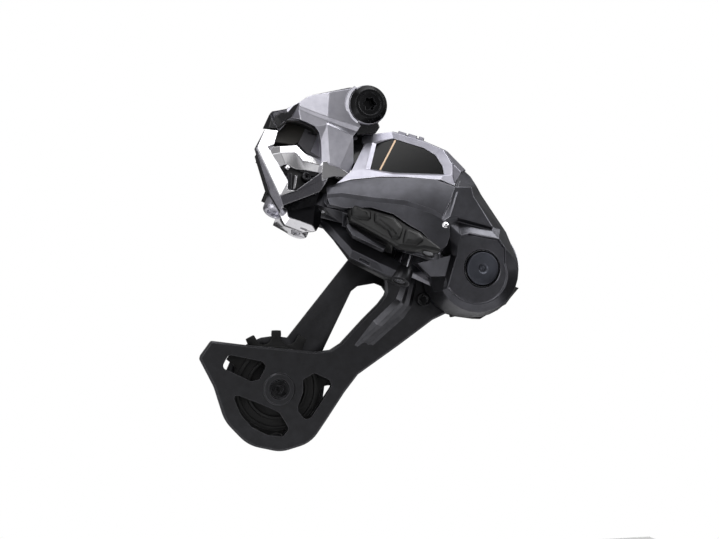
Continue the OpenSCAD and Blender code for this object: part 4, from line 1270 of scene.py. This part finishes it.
@dataclass
class Knuckle:
    """Lower knuckle: faceted body round the cage pivot, its cap and ring."""

    body: str = "p_knuckle"
    back: float = 0.8
    face: float = 27.2
    cap_radius: float = 8.2
    ring_radius: float = 10.0
    drum_steps: int = 14

    def drum(self) -> dict[str, Point]:
        """Corners of the round end: rim S, shoulder M and face edge E, from the right to the lower left.

        Returns:
            Corners by name.
        """
        made = {}
        for k in range(self.drum_steps + 1):
            share = k / self.drum_steps
            turn = math.radians(12 - 164 * share)
            face = 12.2 + 8.4 * share
            ways = {"S": (24.2, 14.5), "M": (face + (24.2 - face) * 0.62, 24.6),
                    "E": (face, 28.4 - 1.0 * share)}
            for row, (radius, height) in ways.items():
                made[f"{row}{k}"] = (CAGE[0] + radius * math.cos(turn), CAGE[1] + radius * math.sin(turn),
                                     height)
        return made

    def shell(self) -> bpy.types.Object:
        """Body with its panel, ledge, long bevel, drum and lug.

        Returns:
            The piece.
        """
        last = self.drum_steps
        corners = self.drum() | {
            "A0": (44.2, -33.2, 26.5), "A1": (48.8, -31.7, 20), "A2": (52.4, -34.2, 19),
            "A3": (56.2, -38.6, 17),
            "C0": (41.0, -41.0, 27.4), "C1": (50.5, -40.3, 25.6),
            "P0": (34.2, -56.2, 27.6), "P1": (43.0, -55.6, 27.4), "P2": (61.6, -60.0, 25.4),
            "P3": (51.2, -44.8, 26.2),
            "K0": (43.4, -57.4, 24.4), "K1": (61.2, -61.4, 24.2),
            "X0": (38.9, -59.6, 26.4), "X1": (38.8, -66.4, 25.0),
            "B0": (59.5, -42.9, 15), "B1": (72.8, -61.7, 15), "B2": (67.4, -60.6, 21.5),
            "F0": (44.0, -64.6, 27.4), "F1": (48.0, -63.4, 28.8), "F2": (63.6, -66.1, 28.8),
            "F3": (67.1, -70.7, 28.8), "Fa": (41.9, -75.0, 26.8), "Fb": (42.4, -69.6, 26.6),
            "L0": (24.0, -77.8, 18), "L1": (40.6, -73.8, 23.5), "L2": (37.0, -84.6, 24.4),
            "L3": (32.2, -84.6, 16),
        }
        faces = ["A0 A1 A2 A3 C1 C0", "A3 B0 P3 C1", "C0 C1 P3 P2 P1 P0", "P3 B0 B1 B2 P2", "P1 P2 K1 K0",
                 "P2 B2 F2 K1", "K0 K1 F2 F1 F0", "B2 B1 S0 M0", "B2 M0 F3 F2", "M0 E0 F3",
                 "P0 P1 K0 X0", "X0 K0 F0", "X0 F0 Fb X1", "X1 Fb Fa L1", f"L1 Fa E{last} L2", "L1 L2 L3 L0",
                 f"L2 E{last} M{last}", f"L2 M{last} S{last} L3"]
        for k in range(last):
            faces += [f"S{k} S{k + 1} M{k + 1} M{k}", f"M{k} M{k + 1} E{k + 1} E{k}"]
        order = ["F0", "F1", "F2", "F3"] + [f"E{k}" for k in range(last + 1)] + ["Fa", "Fb"]
        corners |= self.face_ring(corners, order)
        for first, second in zip(order, order[1:] + order[:1]):
            faces.append(f"{first} {second} G{second} G{first}")
        faces.append(" ".join("G" + name for name in order))
        skin = eased(facets("skin", corners, faces, self.back), 0.6, 14, 3)
        recess = turned("recess", [(self.ring_radius - 0.6, self.face - 1.4),
                                   (self.ring_radius - 0.6, self.face - 0.2),
                                   (self.ring_radius + 0.4, self.face + 0.4), (self.ring_radius + 0.4, 40)],
                        CAGE)
        skin = placed(cut(skin, recess), SIDE)
        core = softened("p_knuckle_body", "core", 0.3, SIDE, 12.0)
        piece = joined("knuckle_shell", skin, core)
        return dressed(piece, self.body, "dark_anodised", DARK_ANODISED, "p_knuckle_body")

    def face_ring(self, corners: dict[str, Point], order: list[str]) -> dict[str, Point]:
        """Corners of the flat face, a little inside its edge.

        Args:
            corners: Known corners.
            order: Names along the face's edge.

        Returns:
            New corners, named as the edge's with a G before.
        """
        centre = Vector(CAGE)
        made = {}
        for name in order:
            at = Vector(corners[name][:2])
            at += (centre - at).normalized() * 0.9
            made["G" + name] = (at.x, at.y, self.face)
        return made

    def cap(self) -> list[bpy.types.Object]:
        """Round cap with a centre dimple, and the dark ring round it.

        Returns:
            Both pieces.
        """
        top = 28.6
        profile = [(self.cap_radius, 25.9), (self.cap_radius, top - 0.8), (self.cap_radius - 0.4, top - 0.3),
                   (self.cap_radius - 1.4, top), (2.6, top + 0.1), (1.9, top - 0.5), (1.3, top - 0.6),
                   (0.9, top - 0.2), (0.3, top - 0.1)]
        cap = placed(eased(turned("pivot_cap", profile, CAGE), 0.1, 25), SIDE)
        cap = dressed(cap, self.body, "cap_grey", CAP_GREY, "p_cap")
        outer = turned("pivot_cap_ring", [(self.ring_radius - 0.7, 25.8), (self.ring_radius - 0.7, 26.8),
                                          (self.ring_radius - 1.1, 27.1), (self.cap_radius + 0.1, 26.4)],
                       CAGE)
        hole = turned("hole", [(self.cap_radius + 0.05, 20), (self.cap_radius + 0.05, 30)], CAGE)
        outer = placed(eased(cut(outer, hole), 0.1, 25), SIDE)
        outer = dressed(outer, self.body, "dark_gloss", BLACK_STEEL, "p_cap_ring")
        return [cap, outer]

    def build(self) -> None:
        """Builds every piece of the knuckle."""
        self.shell()
        self.cap()
        for node in ("outer_pin_p", "inner_pin_p", "cage_spring", "clutch_unit"):
            kept(node, STEEL)
        kept("p_axle_bush", BRONZE)


@dataclass
class Cage:
    """Pulley cage: plates, raised rib, guard, stop pin and bolts."""

    body: str = "cage"
    front: float = -1.0
    thickness: float = 3.5
    head_radius: float = 22.0
    guide_radius: float = 16.0

    def around_tension(self, points: Outline) -> Outline:
        """Points moved from the tension pulley's axis to the bench.

        Args:
            points: Points about the axis, with or without a radius.

        Returns:
            The moved points.
        """
        return [(p[0] + TENSION[0], p[1] + TENSION[1], *p[2:]) for p in points]

    def around_pivot(self, points: Outline) -> Outline:
        """Points moved from the cage pivot's axis to the bench.

        Args:
            points: Points about the axis.

        Returns:
            The moved points.
        """
        return [(p[0] + CAGE[0], p[1] + CAGE[1]) for p in points]

    def outer_plate(self) -> bpy.types.Object:
        """Outer plate with its windows, chamfered edge and raised boss.

        Returns:
            The piece.
        """
        outline = self.around_tension([(17.9, 18.2), (-1.4, 20.3), (-18.1, 22.1), (-33.5, 24.1, 1.5),
                                       (-38.7, 16.9, 1.5), (-39.1, 15.1, 1.5), (-32.0, 1.5, 20),
                                       (-26.6, -15.4, 20), (-15.2, -27.4, 18), (1.2, -31.2, 16),
                                       (16.4, -27.0, 16), (23.8, -16.4, 16), (33.5, -2.1, 30), (40.4, 6.6)])
        outline += self.around_pivot([(-34.2, -38.1), (-16.7, -25.6), (-7.4, -21.4), (0, 0), (-21, 12),
                                      (-32, 11), (-40.5, 2), (-42.2, -3.2), (-41.4, -11), (-42.2, -13.1),
                                      (-45.4, -17.2), (-53.4, -25)])
        outline += self.around_tension([(31.5, 22.4), (26.2, 19.1)])
        back = self.front - self.thickness
        plate = chamfered("cage_outer", rounded(outline), [(0, back), (0, self.front - 0.8),
                                                           (0.9, self.front)])
        head = turned("head", [(self.head_radius, back), (self.head_radius, self.front - 0.02)], CAGE)
        tab = turned("tab", [(self.guide_radius, back), (self.guide_radius, self.front - 0.04)], GUIDE)
        boss = turned("boss", [(8.0, back + 0.5), (8.0, self.front + 1.0), (7.4, self.front + 1.6),
                               (5.2, self.front + 1.6), (4.7, self.front + 1.0), (4.6, self.front + 0.2)],
                      TENSION)
        plate = cut(plate, head, tab, boss, keep="UNION")
        windows = ([(-25.1, 17.3, 2), (-8.5, 13.8, 2), (-6.4, 11.4, 1.5), (-9.8, 5, 1), (-13.8, 3.9),
                    (-28.4, 11, 2)], [(12.1, 4.5, 1.5), (17.9, 7.8, 2), (25.6, 4.2, 2), (26.7, 1, 2),
                                      (16.5, -14.1), (13.6, -15.7, 2), (9.7, -11.3, 2), (9.5, -8.7, 1.5),
                                      (12.1, -1.7)], [(-23.6, -1.5, 1.5), (-8.5, -7.4), (0.1, -11.4, 2),
                                                      (5.1, -19.5, 2), (2, -23.6, 1.5), (-5.6, -22.5),
                                                      (-13.2, -18.7, 3), (-18.9, -12.3, 3)])
        for points in windows:
            window = chamfered("window", rounded(self.around_tension(points)),
                               [(0, back - 1), (0, self.front + 2)])
            plate = cut(plate, window)
        bore = turned("bore", [(4.4, back - 1), (4.4, self.front + 4)], TENSION)
        plate = placed(eased(cut(plate, bore), 0.35, 30), SIDE)
        return dressed(plate, self.body, "dark_anodised", CAGE_ANODISED, "cage_outer_plate")

    def rib(self) -> bpy.types.Object:
        """Raised double rib along the arm, with a long bevel on each side.

        Returns:
            The piece.
        """
        upper = [(-33.0, -1.5), (-32.6, -4.8), (-36.6, -14.6), (-48.6, -25.6), (-63.4, -39.2)]
        crest = [(-30.6, -1.5), (-30.4, -5.6), (-34.0, -16.4), (-46.2, -28.0), (-61.4, -41.4)]
        valley = [(-29.0, -1.5), (-28.9, -6.4), (-32.0, -17.4), (-43.6, -28.6), (-59.4, -42.4)]
        second = [(-27.5, -1.5), (-27.4, -7.4), (-29.8, -17.8), (-34.6, -23.6), (-56.8, -43.4)]
        lower = [(-25.5, -1.5), (-25.4, -8.0), (-27.6, -18.6), (-32.0, -25.0), (-54.0, -44.6)]
        heights = (-1.2, 0.9, -0.2, 0.5, -1.2)
        corners = {}
        for row, points in enumerate((upper, crest, valley, second, lower)):
            fade = (0.0, 1.0, 1.0, 0.8, 0.0)
            for k, point in enumerate(self.around_pivot(points)):
                corners[f"r{row}{k}"] = (*point, -1.4 + (heights[row] + 1.4) * fade[k])
        faces = [f"r{row}{k} r{row}{k + 1} r{row + 1}{k + 1} r{row + 1}{k}"
                 for row in range(4) for k in range(4)]
        piece = forged("cage_rib", corners, faces, -2.0, SIDE, 0.5, 10, 3)
        # Painted highlight: the rib is coloured lighter than the plate it stands on
        return dressed(piece, self.body, "dark_anodised", RIB_PAINTED_HIGHLIGHT)

    def build(self) -> None:
        """Builds every piece of the cage."""
        self.outer_plate()
        self.rib()
        refined("cage_inner_plate", "cage_inner", self.body, "dark_anodised", CAGE_ANODISED, 0.35)
        refined("chain_guard", "cage_chain_guard", self.body, "black_plastic", BLACK_NYLON, 0.5)
        refined("cage_stop_pin", "cage_pin", self.body, "dark_gloss", BLACK_STEEL, 0.3)
        refined("guide_bolt", "guide_pulley_bolt", self.body, "steel", BLACK_STEEL, 0.2)
        refined("tension_bolt", "tension_pulley_bolt", self.body, "steel", BLACK_STEEL, 0.2)
        kept("p_axle", STEEL)
        for side in ("guide", "tension"):
            kept(f"{side}_inner_race", STEEL)
            kept(f"{side}_balls", STEEL)


@dataclass
class Pulley:
    """One toothed pulley with its bearing."""

    side: str

    def build(self) -> None:
        """Builds the wheel and finishes its bearing."""
        body = f"{self.side}_wheel"
        refined(f"{self.side}_pulley", f"{self.side}_wheel_teeth", body, "black_plastic", BLACK_NYLON, 0.3)
        refined(f"{self.side}_shields", f"{self.side}_bearing_shields", body, "black_plastic", BLACK_STEEL,
                0.15)
        kept(f"{self.side}_outer_race", STEEL)


# ---------------------------------------------------------------- studio


# Name, azimuth and elevation in degrees, distance and size in metres, and power in watts of each soft box
LAMPS = [
    ("top_box", 20, 80, 0.75, (0.8, 0.5), 3.4),
    ("left_strip", -66, 12, 0.6, (0.22, 0.6), 0.6),
    ("arm_card", -12, 35, 0.9, (0.3, 0.24), 0.34),
    ("leg_card", 29, 8, 0.9, (0.4, 0.4), 0.34),
    ("left_low", -58, -24, 0.6, (0.3, 0.3), 0.9),
    ("camera_fill", -10, 6, 1.3, (0.8, 0.8), 0.7),
    ("right_strip", 76, 40, 0.6, (0.22, 0.6), 2.6),
    ("front_fill", -34, 24, 1.1, (0.3, 0.5), 1.6),
    ("low_front", 6, -16, 1.2, (0.5, 0.12), 0.3),
]


@dataclass
class Studio:
    """Camera, soft lights, pale floor and white surroundings."""

    azimuth: float = -14.0
    elevation: float = -2.0
    distance: float = 0.56
    lens: float = 56.08
    aim: Point = (-0.00156, -0.005, -0.08087)
    floor_height: float = -0.30
    floor_size: float = 0.7

    def direction(self, azimuth: float, elevation: float) -> Vector:
        """Direction from the object at an azimuth and elevation in degrees.

        Args:
            azimuth: Degrees from the front, positive to the right.
            elevation: Degrees above level.

        Returns:
            Unit vector.
        """
        a, e = math.radians(azimuth), math.radians(elevation)
        return Vector((math.sin(a) * math.cos(e), -math.cos(a) * math.cos(e), math.sin(e)))

    def camera(self) -> None:
        """Adds the camera."""
        back = self.direction(self.azimuth, self.elevation)
        bpy.ops.object.camera_add(location=Vector(self.aim) + back * self.distance,
                                  rotation=(-back).to_track_quat("-Z", "Y").to_euler())
        camera = bpy.context.object
        camera.data.lens = self.lens
        camera.data.clip_start = 0.01
        bpy.context.scene.camera = camera

    def light(self, name: str, azimuth: float, elevation: float, reach: float, size: Point,
              power: float) -> None:
        """Adds one soft box that faces the object.

        Args:
            name: Name of the light.
            azimuth: Degrees from the front.
            elevation: Degrees above level.
            reach: Distance from the object.
            size: Width and height.
            power: Watts.
        """
        back = self.direction(azimuth, elevation)
        bpy.ops.object.light_add(type="AREA", location=Vector(self.aim) + back * reach,
                                 rotation=(-back).to_track_quat("-Z", "Y").to_euler())
        lamp = bpy.context.object
        lamp.name = name
        lamp.data.shape = "RECTANGLE"
        lamp.data.size, lamp.data.size_y = size
        lamp.data.energy = power

    def surroundings(self) -> None:
        """White behind the object, and a dark room with a pale ceiling round it."""
        world = bpy.data.worlds.new("studio")
        world.use_nodes = True
        bpy.context.scene.world = world
        tree = world.node_tree
        tree.nodes.clear()
        ray = add_node(tree, "LightPath")
        place = add_node(tree, "TexCoord").outputs["Generated"]
        height = add_node(tree, "SeparateXYZ", {}, {"Vector": place}).outputs["Z"]
        ramp = add_node(tree, "MapRange", {"From Min": -0.2, "From Max": 1.0, "To Min": 0.07, "To Max": 0.32},
                        {"Value": height})
        room = add_node(tree, "Background", {"Color": (1, 1, 1, 1)}, {"Strength": ramp.outputs[0]})
        white = add_node(tree, "Background", {"Color": (1, 1, 1, 1), "Strength": 1.0})
        mix = add_node(tree, "MixShader", {}, {"Fac": ray.outputs["Is Camera Ray"]})
        tree.links.new(room.outputs[0], mix.inputs[1])
        tree.links.new(white.outputs[0], mix.inputs[2])
        add_node(tree, "OutputWorld", {}, {"Surface": mix.outputs[0]})

    def floor(self) -> None:
        """Adds the pale floor."""
        deselect()
        bpy.ops.mesh.primitive_plane_add(size=self.floor_size, location=(self.aim[0], 0, self.floor_height))
        piece = bpy.context.object
        piece.name = "floor"
        piece.data.materials.append(PAPER.material())

    def build(self) -> None:
        """Builds the studio."""
        self.camera()
        for lamp in LAMPS:
            self.light(*lamp)
        self.surroundings()
        self.floor()
        bpy.context.scene.view_settings.view_transform = "Standard"


def main() -> None:
    """Builds the derailleur and its studio."""
    logging.basicConfig(level=logging.INFO, format="%(name)s: %(message)s")
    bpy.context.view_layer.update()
    for part in (HangerBolt(), Bracket(), OuterLink(), InnerLink(), Knuckle(), Cage(), Pulley("guide"),
                 Pulley("tension")):
        log.info("building %s", type(part).__name__)
        part.build()
    Studio().build()


if __name__ == "__main__":
    main()
